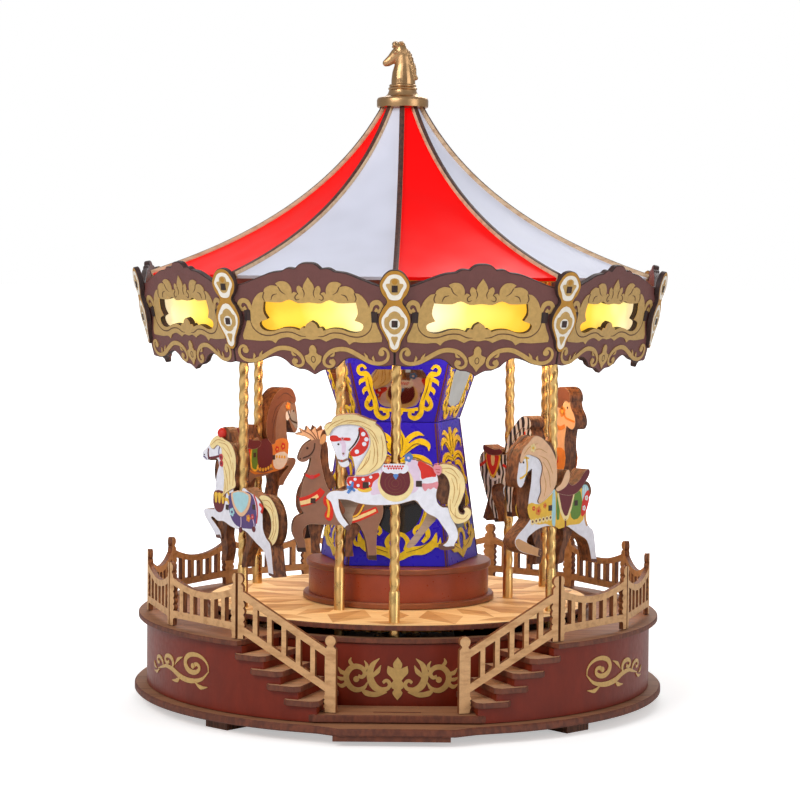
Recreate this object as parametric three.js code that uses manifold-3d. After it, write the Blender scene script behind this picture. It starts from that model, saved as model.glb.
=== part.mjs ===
// Carousel music box: a wooden merry-go-round that turns on a round base.
// Millimetres, +Z up. The origin is on the spin axis, on the surface that the feet stand on.
// Angles round the object start at the front (-Y) and grow towards +X.

import * as THREE from 'three';
import { mergeVertices } from 'three/addons/utils/BufferGeometryUtils.js';
import Module from 'manifold-3d';

// ---------- driving dimensions ----------
const boardThickness = 3;
const thinBoard = 2;
const gap = 0.3;

const footHeight = 4;
const flangeRadius = 109;
const flangeFlatFrontY = -109.8;
const wallRadius = 104;
const wallThickness = 3;
const topBoardBottom = 33.9;
const topBoardRadius = 107.4;
const topBoardInnerRadius = 75.8;
const recessHalfAngle = 34.6;
const recessRadius = 80;

const turntableRadius = 79.1;
const turntableBottom = 38.9;
const spindleRadius = 3;

const gearModule = 1.5;
const ringGearTeeth = 72;
const pinionTeeth = 8;

const fenceRadius = 103;
const fenceStartAngle = 36.4;
const fencePanels = 12;
const fencePlate = 2;

const canopySides = 10;
const corniceBottom = 141.7;
const corniceBottomRadius = 103.3;
const corniceTop = 176;
const corniceTopRadius = 111;
const columnSides = 5;
const capBottom = 243.1;

const poleRadius = 1.7;
const poleLength = 137;
const poleTopHigh = 172;
const liftStroke = 15;
const outerRingRadius = 71.3;
const innerRingRadius = 45.5;
const animalThickness = 6;
const innerLength = 0.85;
const restTurn = -1.2;

// ---------- heights worked out from them ----------
const bottomBoardTop = footHeight + boardThickness;
const wallBottom = bottomBoardTop + gap;
const topBoardTop = topBoardBottom + thinBoard;
const turntableTop = turntableBottom + thinBoard;
const fenceBottom = topBoardTop + gap;
const pedestalBottom = turntableTop + gap;
const pedestalTop = 57;
const columnBottom = pedestalTop + gap;
const columnWaist = 115;
const fencePanelAngle = (360 - 2 * fenceStartAngle) / fencePanels;
const canopyFloorBottom = 147;

// ---------- materials ----------
function paint(color, roughness = 0.6, metalness = 0) {
  return new THREE.MeshStandardMaterial({ color, roughness, metalness });
}
const redWood = () => paint(0x7c3427);
const brownWood = () => paint(0x7a5a48);
const paleWood = () => paint(0xd0a878);
const plumWood = () => paint(0x6b3f38);
const brass = () => paint(0xd8b060, 0.3, 0.9);
const steel = () => paint(0xa8a8a8, 0.35, 0.9);

// ---------- helpers ----------
const wasm = await Module();
wasm.setup();
const carousel = new THREE.Group();
const rad = THREE.MathUtils.degToRad;

function around(radius, angle) {
  return [radius * Math.sin(rad(angle)), -radius * Math.cos(rad(angle))];
}

function closed(geometry) {
  const bare = geometry.index ? geometry.toNonIndexed() : geometry.clone();
  bare.deleteAttribute('normal');
  bare.deleteAttribute('uv');
  return mergeVertices(bare, 1e-4);
}

function toSolid(geometry) {
  const merged = closed(geometry);
  return new wasm.Manifold(new wasm.Mesh({
    numProp: 3,
    vertProperties: new Float32Array(merged.attributes.position.array),
    triVerts: new Uint32Array(merged.index.array),
  }));
}

function toGeometry(solid) {
  const mesh = solid.getMesh();
  const geometry = new THREE.BufferGeometry();
  geometry.setAttribute('position', new THREE.BufferAttribute(mesh.vertProperties, 3));
  geometry.setIndex(new THREE.BufferAttribute(mesh.triVerts, 1));
  return geometry;
}

function join(...geometries) {
  return toGeometry(geometries.map(toSolid).reduce((whole, piece) => whole.add(piece)));
}

function cut(geometry, ...tools) {
  return toGeometry(tools.map(toSolid).reduce((whole, tool) => whole.subtract(tool), toSolid(geometry)));
}

function addNode(name, geometry, material, parent = carousel) {
  const mesh = new THREE.Mesh(closed(geometry), material);
  mesh.name = name;
  parent.add(mesh);
  return mesh;
}

// a flat plate: an outline in plan, from one height to another
function plate(outline, bottom, top, curveSegments = 12) {
  const geometry = new THREE.ExtrudeGeometry(outline, { depth: top - bottom, bevelEnabled: false, curveSegments });
  return geometry.translate(0, 0, bottom);
}

// a plate standing upright: an outline in (x, z), centred on y = 0
function upright(outline, thickness, curveSegments = 12) {
  const geometry = new THREE.ExtrudeGeometry(outline, { depth: thickness, bevelEnabled: false, curveSegments });
  return geometry.translate(0, 0, -thickness / 2).rotateX(Math.PI / 2);
}

function polygon(points) {
  return new THREE.Shape(points.map(([x, y]) => new THREE.Vector2(x, y)));
}

function circle(x, y, radius) {
  return new THREE.Shape().absarc(x, y, radius, 0, 2 * Math.PI);
}

function disc(radius, bottom, top, segments, holes) {
  const outline = polygon(ringPoints(radius, 0, 360, segments).slice(0, -1));
  outline.holes = holes;
  return plate(outline, bottom, top, 4);
}

function ringPoints(radius, from, to, steps) {
  return Array.from({ length: steps + 1 }, (_, i) => around(radius, from + ((to - from) * i) / steps));
}

// part of a ring, seen in plan, between two angles
function arcWall(inner, outer, from, to, bottom, top, steps) {
  const outline = polygon([...ringPoints(outer, from, to, steps), ...ringPoints(inner, to, from, steps)]);
  return plate(outline, bottom, top);
}

function box(x0, x1, y0, y1, z0, z1) {
  const geometry = new THREE.BoxGeometry(x1 - x0, y1 - y0, z1 - z0);
  return geometry.translate((x0 + x1) / 2, (y0 + y1) / 2, (z0 + z1) / 2);
}

function rod(x, y, radius, bottom, top, segments = 12) {
  const geometry = new THREE.CylinderGeometry(radius, radius, top - bottom, segments);
  return geometry.rotateX(Math.PI / 2).translate(x, y, (bottom + top) / 2);
}

// a turned or many-sided piece about the Z axis from (radius, height) pairs, with a corner at the front
function turned(profile, sides) {
  const geometry = new THREE.LatheGeometry(profile.map(([r, z]) => new THREE.Vector2(r, z)), sides);
  return geometry.rotateX(Math.PI / 2);
}

function toothedWheel(teeth, boreOutline, bottom, top, centreX, firstTooth) {
  const pitch = (gearModule * teeth) / 2;
  const step = 360 / teeth;
  const outline = [];
  for (let tooth = 0; tooth < teeth; tooth += 1) {
    const middle = firstTooth + tooth * step;
    outline.push(around(pitch - 1.07 * gearModule, middle - 0.34 * step));
    outline.push(around(pitch + 0.8 * gearModule, middle - 0.12 * step));
    outline.push(around(pitch + 0.8 * gearModule, middle + 0.12 * step));
    outline.push(around(pitch - 1.07 * gearModule, middle + 0.34 * step));
  }
  const wheel = polygon(outline);
  if (boreOutline) wheel.holes.push(boreOutline);
  return plate(wheel, bottom, top).translate(centreX, 0, 0);
}

// ---------- base: boards, feet and walls ----------
function bottomBoardOutline() {
  const flatHalf = 22;
  const shoulderAngle = 24;
  const outline = ringPoints(flangeRadius, shoulderAngle, 360 - shoulderAngle, 56);
  return polygon([...outline, [-flatHalf - 8, flangeFlatFrontY + 5], [-flatHalf, flangeFlatFrontY],
    [flatHalf, flangeFlatFrontY], [flatHalf + 8, flangeFlatFrontY + 5]]);
}

const bay = { halfX: 24, halfY: 30, wall: 1.6, top: 22.3 };

function bottomBoard() {
  const board = plate(bottomBoardOutline(), footHeight, bottomBoardTop);
  const skirt = plate(polygon([[-24, -108.5], [20, -108.5], [16, -98], [-20, -98]]), 2, footHeight + 1);
  const bayOpening = box(-22, 22, -28, 28, 0, 10);
  return cut(join(board, skirt), bayOpening);
}

function foot() {
  const profile = polygon([[-6, 0], [6, 0], [6, 2.7], [11, 2.7], [11, 3.7], [-11, 3.7], [-11, 2.7], [-6, 2.7]]);
  return upright(profile, 12).translate(0, -97, 0);
}

function batteryBox() {
  const outer = box(-bay.halfX, bay.halfX, -bay.halfY, bay.halfY, wallBottom, bay.top);
  const inner = box(-bay.halfX + bay.wall, bay.halfX - bay.wall, -bay.halfY + bay.wall,
    bay.halfY - bay.wall, 0, bay.top - bay.wall);
  return cut(outer, inner);
}

addNode('bottom_board', bottomBoard(), brownWood());
for (const [index, angle] of [-42.5, 42.5, 137.5, -137.5].entries()) {
  addNode(`foot_${index + 1}`, foot().rotateZ(rad(angle)), brownWood());
}
addNode('battery_box', batteryBox(), paint(0x2a2a2c));
addNode('battery_cover', box(-22 + gap, 22 - gap, -28 + gap, 28 - gap, footHeight, bottomBoardTop - gap),
  paint(0x2a2a2c));

const button = { height: 20, radius: 4 };

function baseWall() {
  const wall = arcWall(wallRadius - wallThickness, wallRadius, recessHalfAngle + 0.3,
    360 - recessHalfAngle - 0.3, wallBottom, topBoardBottom - gap, 48);
  const hole = rod(0, 0, button.radius + 0.5, 95, 110, 16).rotateX(-Math.PI / 2).translate(0, 0, button.height);
  return cut(wall, hole);
}

function frontWall() {
  const pieces = [arcWall(76.3, recessRadius - 1.2, -38, 38, wallBottom, topBoardBottom - gap, 20)];
  for (const side of [-1, 1]) {
    const cheek = box(-1, 1, -100.6, -77, wallBottom, topBoardBottom - gap);
    pieces.push(cheek.rotateZ(rad(side * 36.3)));
  }
  return join(...pieces);
}

function topBoard() {
  const outline = polygon([
    ...ringPoints(topBoardRadius, recessHalfAngle, 360 - recessHalfAngle, 48),
    ...ringPoints(recessRadius, -recessHalfAngle, recessHalfAngle, 16),
  ]);
  outline.holes.push(polygon(ringPoints(topBoardInnerRadius, 0, 360, 48).slice(0, -1)));
  return plate(outline, topBoardBottom, topBoardTop);
}

addNode('base_wall', baseWall(), redWood());
addNode('front_wall', frontWall(), redWood());
addNode('top_board', topBoard(), brownWood());
addNode('landing_plate', plate(polygon([[-27.7, -97], [27.7, -97], [27.7, -90], [25, -80], [12, -80.8],
  [-12, -80.8], [-25, -80], [-27.7, -90]]), wallBottom, wallBottom + boardThickness), brownWood());

// ---------- stairs: four treads on a stepped side wall, rising away from the front ----------
const landingTop = wallBottom + boardThickness;
const stairs = { treads: 4, going: 4.1, topAngle: recessHalfAngle, treadAngle: 6, overlap: 1.9, plate: 2.2 };
const rise = (topBoardTop - landingTop) / (stairs.treads + 1);

// a tread whose nose stands out past the wall, with its corners cut off
function tread(angle, top) {
  const inner = recessRadius + gap;
  const outer = wallRadius + gap;
  const nose = 106.4;
  const corner = 1.2;
  const upper = angle + stairs.overlap;
  const lower = angle - stairs.treadAngle;
  const innerUpper = Math.min(upper, stairs.topAngle);
  const outline = polygon([around(inner, innerUpper), around(inner, lower), around(outer, lower),
    around(nose, lower + corner), around(nose, upper - corner), around(outer, upper), around(outer, innerUpper)]);
  return plate(outline, top - stairs.plate, top);
}

// each step is a tread on a radial riser, with a piece of curved wall under its outer end
function stairFlight() {
  const riserDepth = 1.2;
  const bite = 1;
  const pieces = [];
  for (let step = 0; step < stairs.treads; step += 1) {
    const angle = stairs.topAngle - step * stairs.going;
    const top = topBoardTop - (step + 1) * rise;
    const wallStart = angle - stairs.treadAngle + 0.6;
    const wallEnd = step === 0 ? angle : wallStart + stairs.going + 0.15;
    const riserStart = wallStart + 0.2;
    const riserBottom = Math.max(top - rise - bite, landingTop + gap);
    pieces.push(tread(angle, top));
    pieces.push(arcWall(wallRadius - wallThickness, wallRadius, wallStart, wallEnd, wallBottom, top - bite, 2));
    pieces.push(arcWall(recessRadius + 2, wallRadius - wallThickness + 0.2, riserStart, riserStart + riserDepth,
      riserBottom, top - bite, 1));
  }
  return join(...pieces);
}

// the newel stands on the landing, the half post at the upper end on the top board
const [railEndX, railEndY] = around(fenceRadius, fenceStartAngle - 0.3);
const rail = {
  newelX: 25, newelY: -95.6, plate: 2, newelWidth: 4.2, newelTop: 39.7, low: 33.8, high: 55.6, depth: 16.5,
  board: 3.2, balusters: 5, balusterWidth: 1.9,
};
const halfPostWidth = 2.2;
const ballRadius = 2.1;
const postTop = 61.2;

// the outline of a ball on a post, from its right side over the top to its left side
function ballPoints(top, from, to, steps) {
  return Array.from({ length: steps + 1 }, (_, i) => {
    const turn = rad(from + ((to - from) * i) / steps);
    return [ballRadius * Math.cos(turn), top - ballRadius + ballRadius * Math.sin(turn)];
  });
}

function newel() {
  const half = rail.newelWidth / 2;
  return upright(polygon([[-half, landingTop + gap], [half, landingTop + gap],
    ...ballPoints(rail.newelTop, -57, 237, 10)]), rail.plate);
}

// half a post with half a ball: its straight edge is at x, and the rest lies on the given side of it
function halfPost(x, side) {
  const points = [[0, fenceBottom], [halfPostWidth, fenceBottom], ...ballPoints(postTop, -57, 90, 5)];
  const placed = points.map(([u, z]) => [x + side * u, z]);
  return upright(polygon(side > 0 ? placed : placed.reverse()), fencePlate);
}

function stairRail() {
  const run = Math.hypot(railEndX - rail.newelX, railEndY - rail.newelY);
  const handrail = (x) => rail.low + ((rail.high - rail.low) * x) / run;
  const sloping = (from, to, low, high) => upright(polygon([
    [from, handrail(from) + low],
    [to, handrail(to) + low],
    [to, handrail(to) + high],
    [from, handrail(from) + high],
  ]), rail.plate);
  const last = run - 1;
  const pieces = [newel(), halfPost(run, -1), sloping(0, last, -rail.board, 0),
    sloping(0, last, -rail.depth, rail.board - rail.depth)];
  const first = rail.newelWidth / 2;
  const pitch = (run - first - halfPostWidth + rail.balusterWidth) / (rail.balusters + 1);
  for (let index = 1; index <= rail.balusters; index += 1) {
    const to = first + index * pitch;
    pieces.push(sloping(to - rail.balusterWidth, to, 1 - rail.depth, -1));
  }
  return join(...pieces);
}

for (const [name, side] of [['left', -1], ['right', 1]]) {
  const flight = addNode(`stair_${name}`, stairFlight(), brownWood());
  const railing = addNode(`stair_rail_${name}`, stairRail(), paleWood());
  const heading = Math.atan2(railEndY - rail.newelY, railEndX - rail.newelX);
  railing.geometry.rotateZ(heading).translate(rail.newelX, rail.newelY, 0);
  if (side < 0) {
    for (const mesh of [flight, railing]) {
      mesh.geometry.scale(-1, 1, 1);
      mesh.geometry.index.array.reverse();
    }
  }
}

// ---------- fence: each section is two flat panels, and every post is two half posts ----------
const fence = {
  legHeight: 3.2, floor: 6, sagLow: 15.4, sagRise: 3.6, topRail: 2.6, balusters: 5, balusterWidth: 2.3,
};

function fencePanel(joinedSide) {
  const chordHalf = fenceRadius * Math.sin(rad(fencePanelAngle / 2));
  const right = chordHalf + (joinedSide > 0 ? 0.2 : -0.35);
  const left = -chordHalf - (joinedSide < 0 ? 0.2 : -0.35);
  const middle = (right + left) / 2;
  const span = (right - left) / 2 - halfPostWidth;
  const sag = (x) => fenceBottom + fence.sagLow + fence.sagRise * ((x - middle) / span) ** 2;
  const board = polygon([
    [middle - span - 0.6, fenceBottom + fence.legHeight], [middle + span + 0.6, fenceBottom + fence.legHeight],
    ...[1.05, 0.5, 0, -0.5, -1.05].map((part) => [middle + part * span, sag(middle + part * span)]),
  ]);
  const slots = [];
  const pitch = (2 * span + fence.balusterWidth) / (fence.balusters + 1);
  for (let slot = 0; slot <= fence.balusters; slot += 1) {
    const from = middle - span + slot * pitch;
    const to = from + pitch - fence.balusterWidth;
    slots.push(upright(polygon([[from, fenceBottom + fence.floor], [to, fenceBottom + fence.floor],
      [to, sag(to) - fence.topRail], [from, sag(from) - fence.topRail]]), fencePlate + 1));
  }
  const railing = cut(upright(board, fencePlate), ...slots);
  const apothem = fenceRadius * Math.cos(rad(fencePanelAngle / 2));
  return join(halfPost(left, 1), halfPost(right, -1), railing).translate(0, -apothem, 0);
}

for (let section = 0; section < fencePanels / 2; section += 1) {
  const start = fenceStartAngle + 2 * section * fencePanelAngle;
  const first = fencePanel(1).rotateZ(rad(start + 0.5 * fencePanelAngle));
  const second = fencePanel(-1).rotateZ(rad(start + 1.5 * fencePanelAngle));
  addNode(`fence_section_${section + 1}`, join(first, second), paleWood());
}

// ---------- drive and music, inside the base ----------
const gearBottom = 34.2;
const gearTop = turntableBottom - gap;
const gearDistance = (gearModule * (ringGearTeeth + pinionTeeth)) / 2;

// a ring with a flat bottom whose top rises and falls round it
function wavyRing(inner, outer, bottom, topAt, steps) {
  const corners = [];
  for (let step = 0; step < steps; step += 1) {
    const angle = (360 * step) / steps;
    for (const [radius, z] of [[outer, bottom], [outer, topAt(angle)], [inner, topAt(angle)], [inner, bottom]]) {
      corners.push(...around(radius, angle), z);
    }
  }
  const faces = [];
  for (let step = 0; step < steps; step += 1) {
    for (let corner = 0; corner < 4; corner += 1) {
      const a = 4 * step + corner;
      const b = 4 * step + ((corner + 1) % 4);
      const c = (a + 4) % (4 * steps);
      const d = (b + 4) % (4 * steps);
      faces.push(a, c, b, b, c, d);
    }
  }
  const geometry = new THREE.BufferGeometry();
  geometry.setAttribute('position', new THREE.Float32BufferAttribute(corners, 3));
  geometry.setIndex(faces);
  return geometry;
}

// two wavy crowns on one board: three waves under the outer poles, one under the inner poles
function liftCam() {
  const wave = (lobes, crest) => (angle) => 13.4 + 5.6 * Math.cos(rad(lobes * (angle - crest)));
  const arms = [-1, 1].map((side) => box(-4, 4, side * 58.5 - 12, side * 58.5 + 12, wallBottom, 9));
  const outerCrown = wavyRing(69, 74.5, wallBottom, wave(3, 0), 48);
  const innerCrown = wavyRing(43, 48.2, wallBottom, wave(1, 90), 32);
  return join(outerCrown, innerCrown, ...arms);
}

addNode('lift_cam', liftCam(), paleWood());
addNode('spindle', turned([[0, bay.top + gap], [10, bay.top + gap], [10, 25], [6, 25], [6, gearTop],
  [spindleRadius, gearTop], [spindleRadius, 52], [0, 52]], 12), steel());

const motor = { halfX: 6.5, halfY: 7.5, top: 31 };
addNode('drive_motor', box(gearDistance - motor.halfX, gearDistance + motor.halfX, -motor.halfY, motor.halfY,
  wallBottom, motor.top), steel());
addNode('motor_pinion', join(toothedWheel(pinionTeeth, null, gearBottom, gearTop, 0, -90),
  rod(0, 0, 1.5, motor.top + gap, gearBottom + 1)).translate(gearDistance, 0, 0), brass());

const cylinder = { radius: 5.4, bottom: 9.5, top: 28, pinRows: 12 };

function musicCylinder() {
  const pieces = [toothedWheel(pinionTeeth, null, gearBottom, gearTop, 0, 90),
    rod(0, 0, 1.5, cylinder.top - 1, gearBottom + 1),
    rod(0, 0, cylinder.radius, cylinder.bottom, cylinder.top, 16)];
  for (let row = 0; row < cylinder.pinRows; row += 1) {
    const height = cylinder.bottom + 1.25 + row * 1.4;
    const pin = box(-0.25, 0.25, cylinder.radius - 0.5, cylinder.radius + 0.5, height, height + 0.5);
    pieces.push(pin.rotateZ(rad(40 + row * 75)));
  }
  return join(...pieces).translate(-gearDistance, 0, 0);
}

function toneComb() {
  const outline = [[20, 10], [20, 27.2], [15, 27.2]];
  for (let tooth = cylinder.pinRows - 1; tooth >= 0; tooth -= 1) {
    const height = cylinder.bottom + 1 + tooth * 1.4;
    outline.push([15, height + 1], [6.3, height + 1], [6.3, height], [15, height]);
  }
  outline.push([15, 10]);
  const comb = new THREE.ExtrudeGeometry(polygon(outline), { depth: 0.8, bevelEnabled: false });
  return comb.rotateX(Math.PI / 2).rotateZ(Math.PI / 2).translate(-gearDistance - 0.4, 0, 0);
}

const movementFloor = box(-64, -54.8, -7, 20, wallBottom, 8.8);
const combPost = box(-59.2, -55.5, 15, 20, 8, 28);
addNode('movement_plate', join(movementFloor, combPost), brass());
addNode('music_cylinder', musicCylinder(), brass());
addNode('tone_comb', toneComb(), steel());
addNode('power_button', rod(0, 0, button.radius, 97.5, 106.5, 16).rotateX(-Math.PI / 2)
  .translate(0, 0, button.height), brass());

// ---------- everything from here on turns with the turntable ----------
const spinning = new THREE.Group();
spinning.rotation.z = rad(restTurn);
carousel.add(spinning);

const outerRiders = [
  { name: 'white_horse', angle: 0, turn: 0, kind: 'horse', high: true, saddle: 102.4 },
  { name: 'bay_horse', angle: -120, turn: 0, kind: 'horse', high: true, saddle: 102 },
  { name: 'camel', angle: 120, turn: 0, kind: 'camel', high: true, saddle: 101 },
  { name: 'plumed_horse', angle: -60, turn: 8, kind: 'horse', high: false, saddle: 87.2 },
  { name: 'golden_horse', angle: 60, turn: -10, kind: 'horse', high: false, saddle: 89.5 },
  { name: 'grey_horse', angle: 180, turn: 0, kind: 'horse', high: false, saddle: 88 },
].map((rider) => ({ ...rider, ring: outerRingRadius }));
const innerRiders = [
  { name: 'deer', angle: -30, turn: 40, kind: 'deer', high: false, saddle: 88 },
  { name: 'zebra', angle: 90, turn: 36, kind: 'horse', high: true, saddle: 100.8 },
  { name: 'black_horse', angle: 210, turn: 0, kind: 'horse', high: false, saddle: 88 },
].map((rider) => ({ ...rider, ring: innerRingRadius }));
const riders = [...outerRiders, ...innerRiders];

function poleHoles() {
  return riders.map(({ ring, angle }) => circle(...around(ring, angle), poleRadius + 0.5));
}

addNode('turntable', disc(turntableRadius, turntableBottom, turntableTop, 64,
  [circle(0, 0, spindleRadius + 0.5), ...poleHoles()]), paleWood(), spinning);
addNode('ring_gear', toothedWheel(ringGearTeeth, polygon(ringPoints(50.2, 0, 360, 36).slice(0, -1)),
  gearBottom, gearTop, 0, 180 / ringGearTeeth - restTurn), brass(), spinning);
addNode('pedestal', turned([[36.5, pedestalBottom], [39.6, pedestalBottom], [39.6, 43.4], [37.3, 43.4],
  [37.3, 54.6], [38.3, 54.6], [38.3, pedestalTop], [8, pedestalTop], [8, 54.6], [35, 54.6], [35, 43.4],
  [36.5, pedestalBottom]], 30), redWood(), spinning);

function hollowMast(profile, wall) {
  return [...profile, ...profile.map(([r, z]) => [r - wall, z]).reverse(), profile[0]];
}

function columnPiece(profile) {
  return turned(hollowMast(profile, 2.4), columnSides).rotateZ(Math.PI / columnSides);
}

addNode('column_lower', columnPiece([[34.7, columnBottom], [26.2, columnWaist]]), paint(0x2a1cc8, 0.35), spinning);
addNode('column_upper', columnPiece([[26.2, columnWaist + gap], [34.7, 139], [35.5, canopyFloorBottom - gap]]),
  paint(0x2a1cc8, 0.35), spinning);

// ---------- canopy ----------
function tenSided(profile) {
  return turned(profile, canopySides);
}

function canopyFloor() {
  const outline = polygon(ringPoints(100.4, 0, 360, canopySides).slice(0, -1));
  outline.holes = poleHoles();
  return plate(outline, canopyFloorBottom, canopyFloorBottom + 2.4, 4);
}

const lean = Math.atan2((corniceTopRadius - corniceBottomRadius) * Math.cos(Math.PI / canopySides),
  corniceTop - corniceBottom);

function cornicePanelOutline() {
  const half = corniceBottomRadius * Math.sin(Math.PI / canopySides);
  const topHalf = corniceTopRadius * Math.sin(Math.PI / canopySides);
  const height = (corniceTop - corniceBottom) / Math.cos(lean);
  const rightSide = [[6, -2.4], [9, -1], [15, 2.4], [22, 0.2], [half, 0], [topHalf, height - 5],
    [22, height - 2.6], [13, height + 0.4], [5.5, height + 1], [3, height + 3]];
  const leftSide = rightSide.map(([x, z]) => [-x, z]).reverse();
  return polygon([[0, -4.4], ...rightSide, ...leftSide]);
}

function cornerShieldOutline() {
  const rightSide = [[2, 5], [4.6, 12], [6.2, 18], [3.2, 24.5], [5.6, 31], [2.6, 36]];
  const leftSide = rightSide.map(([x, z]) => [-x, z]).reverse();
  return polygon([[0, 4], ...rightSide, ...leftSide]);
}

function cornice() {
  const pieces = [];
  const apothem = corniceBottomRadius * Math.cos(Math.PI / canopySides);
  for (let side = 0; side < canopySides; side += 1) {
    const panel = upright(cornicePanelOutline(), 2.4).translate(0, 1.2, 0).rotateX(lean);
    pieces.push(panel.translate(0, -apothem, corniceBottom).rotateZ(2 * Math.PI * (side + 0.5) / canopySides));
    const shield = upright(cornerShieldOutline(), 2.2).translate(0, 0.2, 0).rotateX(lean);
    pieces.push(shield.translate(0, -corniceBottomRadius, corniceBottom)
      .rotateZ(2 * Math.PI * side / canopySides));
  }
  return join(...pieces);
}

function roofProfile() {
  const sweep = new THREE.QuadraticBezierCurve(new THREE.Vector2(104.5, 174.4), new THREE.Vector2(34, 197),
    new THREE.Vector2(11, capBottom - gap));
  return sweep.getPoints(9).map(({ x, y }) => [x, y]);
}

function roof() {
  const outer = roofProfile();
  const inner = outer.map(([r, z]) => [r - 1, z - 1.6]).reverse();
  return tenSided([...outer, ...inner, outer[0]]);
}

function finial() {
  const head = polygon([[-4.6, 0], [4.6, 0], [4.4, 3.5], [6, 8], [5.6, 12], [3.6, 15.6], [0.4, 17.6], [-1.6, 18],
    [-2, 15.8], [-4.6, 14.6], [-7.4, 11.6], [-7.2, 10], [-4.8, 10], [-2.2, 10.6], [-1.8, 8.6], [-3.4, 4]]);
  return upright(head, 6).translate(0, 0, 253);
}

addNode('canopy_floor', canopyFloor(), brownWood(), spinning);
addNode('cornice', cornice(), plumWood(), spinning);
addNode('light_diffuser', tenSided([[101, 150.5], [103.2, 168], [101.8, 168], [99.6, 150.5], [101, 150.5]]),
  paint(0xffd070, 0.5), spinning);
addNode('lamp_board', turned([[0, 149.7], [20, 149.7], [20, 151.5], [14, 151.5], [14, 154.5], [0, 154.5]], 16),
  paint(0xf4f0d8), spinning);
addNode('mast', rod(0, 0, 2.5, 154.8, capBottom - gap, 8), steel(), spinning);
addNode('roof', roof(), paint(0xd8201c, 0.3), spinning);
addNode('roof_cap', turned([[0, capBottom], [10.4, capBottom], [10.4, 247.4], [7, 248.6], [6, 251], [5.4, 252.7],
  [0, 252.7]], 16), brass(), spinning);
addNode('horse_head_finial', finial(), brass(), spinning);

// ---------- riders: heads point to -X at the front of the ring, heights are from the saddle ----------
// turn is how far a rider is twisted on its pole from heading along the ring
const horseOutline = [
  [-22, -1], [-18, -1], [-18.2, 5], [-16, 3], [-16, -2.5], [-18.2, -6], [-18, -11], [-25.5, -10.5], [-26, -13],
  [-24, -20], [-18, -26], [-16.5, -23], [-20.6, -18.5], [-20.5, -14.5], [-15, -15], [-4, -16], [4, -14.5],
  [7, -13.5], [12.4, -19], [11, -23], [5, -30], [7, -31.6], [14.5, -24.5], [17, -24], [20, -29], [17, -32],
  [22.4, -33], [24.4, -28], [21, -20], [19.7, -16.5], [22.4, -17.5], [23, -21.5], [27.5, -22.5], [29, -18],
  [26, -16], [26.6, -5], [23, -0.5], [17, 0.2], [9.7, 1.2], [6, 2.2], [4, 0], [-4, 0], [-4.8, 7], [-7.5, 15],
  [-14, 19], [-23, 18.5], [-27, 13], [-24.6, 9],
];

function withAntlers(outline) {
  const antlers = [[-14, 19], [-12, 26], [-15, 24], [-16.5, 27], [-18, 22.6], [-22, 26.5], [-21, 20], [-23, 18.5]];
  const first = outline.findIndex(([x, z]) => x === -14 && z === 19);
  return [...outline.slice(0, first), ...antlers, ...outline.slice(first + 2)];
}

function withHump(outline) {
  return outline.map(([x, z]) => (z === 15 || z > 17 ? [x * 0.85, z + 4.5] : [x, z]));
}

// the inner riders are shorter, and their hooves stay above the pedestal
function compact(outline) {
  const belly = -16;
  const legLength = 0.7;
  return outline.map(([x, z]) => [x * innerLength, z < belly ? belly + (z - belly) * legLength : z]);
}

const outlineOf = { horse: horseOutline, deer: withAntlers(horseOutline), camel: withHump(horseOutline) };
const coatOf = {
  white_horse: 0xe8e4ea, plumed_horse: 0xe8e4ea, golden_horse: 0xe6dcd0, bay_horse: 0x6b4630, grey_horse: 0x9a9490,
  camel: 0xa06840, deer: 0x805038, zebra: 0x55504e, black_horse: 0x3c342f,
};

for (const { name, angle, kind, high, saddle, ring, turn } of riders) {
  const [x, y] = around(ring, angle);
  const top = high ? poleTopHigh : poleTopHigh - liftStroke;
  addNode(`pole_${name}`, rod(x, y, poleRadius, top - poleLength, top, 8), brass(), spinning);
  const outline = ring === innerRingRadius ? compact(outlineOf[kind]) : outlineOf[kind];
  const body = upright(polygon(outline), animalThickness).translate(0, 0, saddle);
  const bored = cut(body, rod(0, 0, poleRadius + 0.4, 0, 200, 8));
  addNode(name, bored.rotateZ(rad(angle + turn)).translate(x, y, 0), paint(coatOf[name]), spinning);
}

export default carousel;
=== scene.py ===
"""Looks of the carousel music box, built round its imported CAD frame.

Shapes are worked out in millimetres and turned into metres where a mesh is made.
Angles round the object start at the front (-Y) and grow towards +X.
"""

import math
import random

import bpy
from mathutils import Matrix, Vector
from mathutils.geometry import tessellate_polygon


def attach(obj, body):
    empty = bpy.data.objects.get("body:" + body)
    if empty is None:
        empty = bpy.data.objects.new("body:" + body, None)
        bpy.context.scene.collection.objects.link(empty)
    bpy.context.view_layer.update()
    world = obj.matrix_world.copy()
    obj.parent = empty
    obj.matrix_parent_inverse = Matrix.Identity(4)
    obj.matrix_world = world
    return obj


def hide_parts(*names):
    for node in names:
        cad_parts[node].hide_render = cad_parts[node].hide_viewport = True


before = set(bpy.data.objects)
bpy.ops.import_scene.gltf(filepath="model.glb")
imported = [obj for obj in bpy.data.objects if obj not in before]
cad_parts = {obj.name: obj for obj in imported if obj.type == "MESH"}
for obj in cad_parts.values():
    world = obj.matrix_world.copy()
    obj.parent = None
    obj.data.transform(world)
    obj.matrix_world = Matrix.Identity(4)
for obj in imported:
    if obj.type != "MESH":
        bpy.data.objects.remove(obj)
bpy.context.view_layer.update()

MM = 0.001
REST_TURN = -1.2

CAMERA_PLACE = (0, -0.9661, 0.1798)
CAMERA_PITCH = 3.375
CAMERA_ROLL = 0.507
CAMERA_LENS = 105.07
CANOPY_LAMP_RADIUS = 0.056
CANOPY_LAMP_HEIGHT = 0.1445
WARM_LIGHT = (1.0, 0.66, 0.36)


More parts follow.
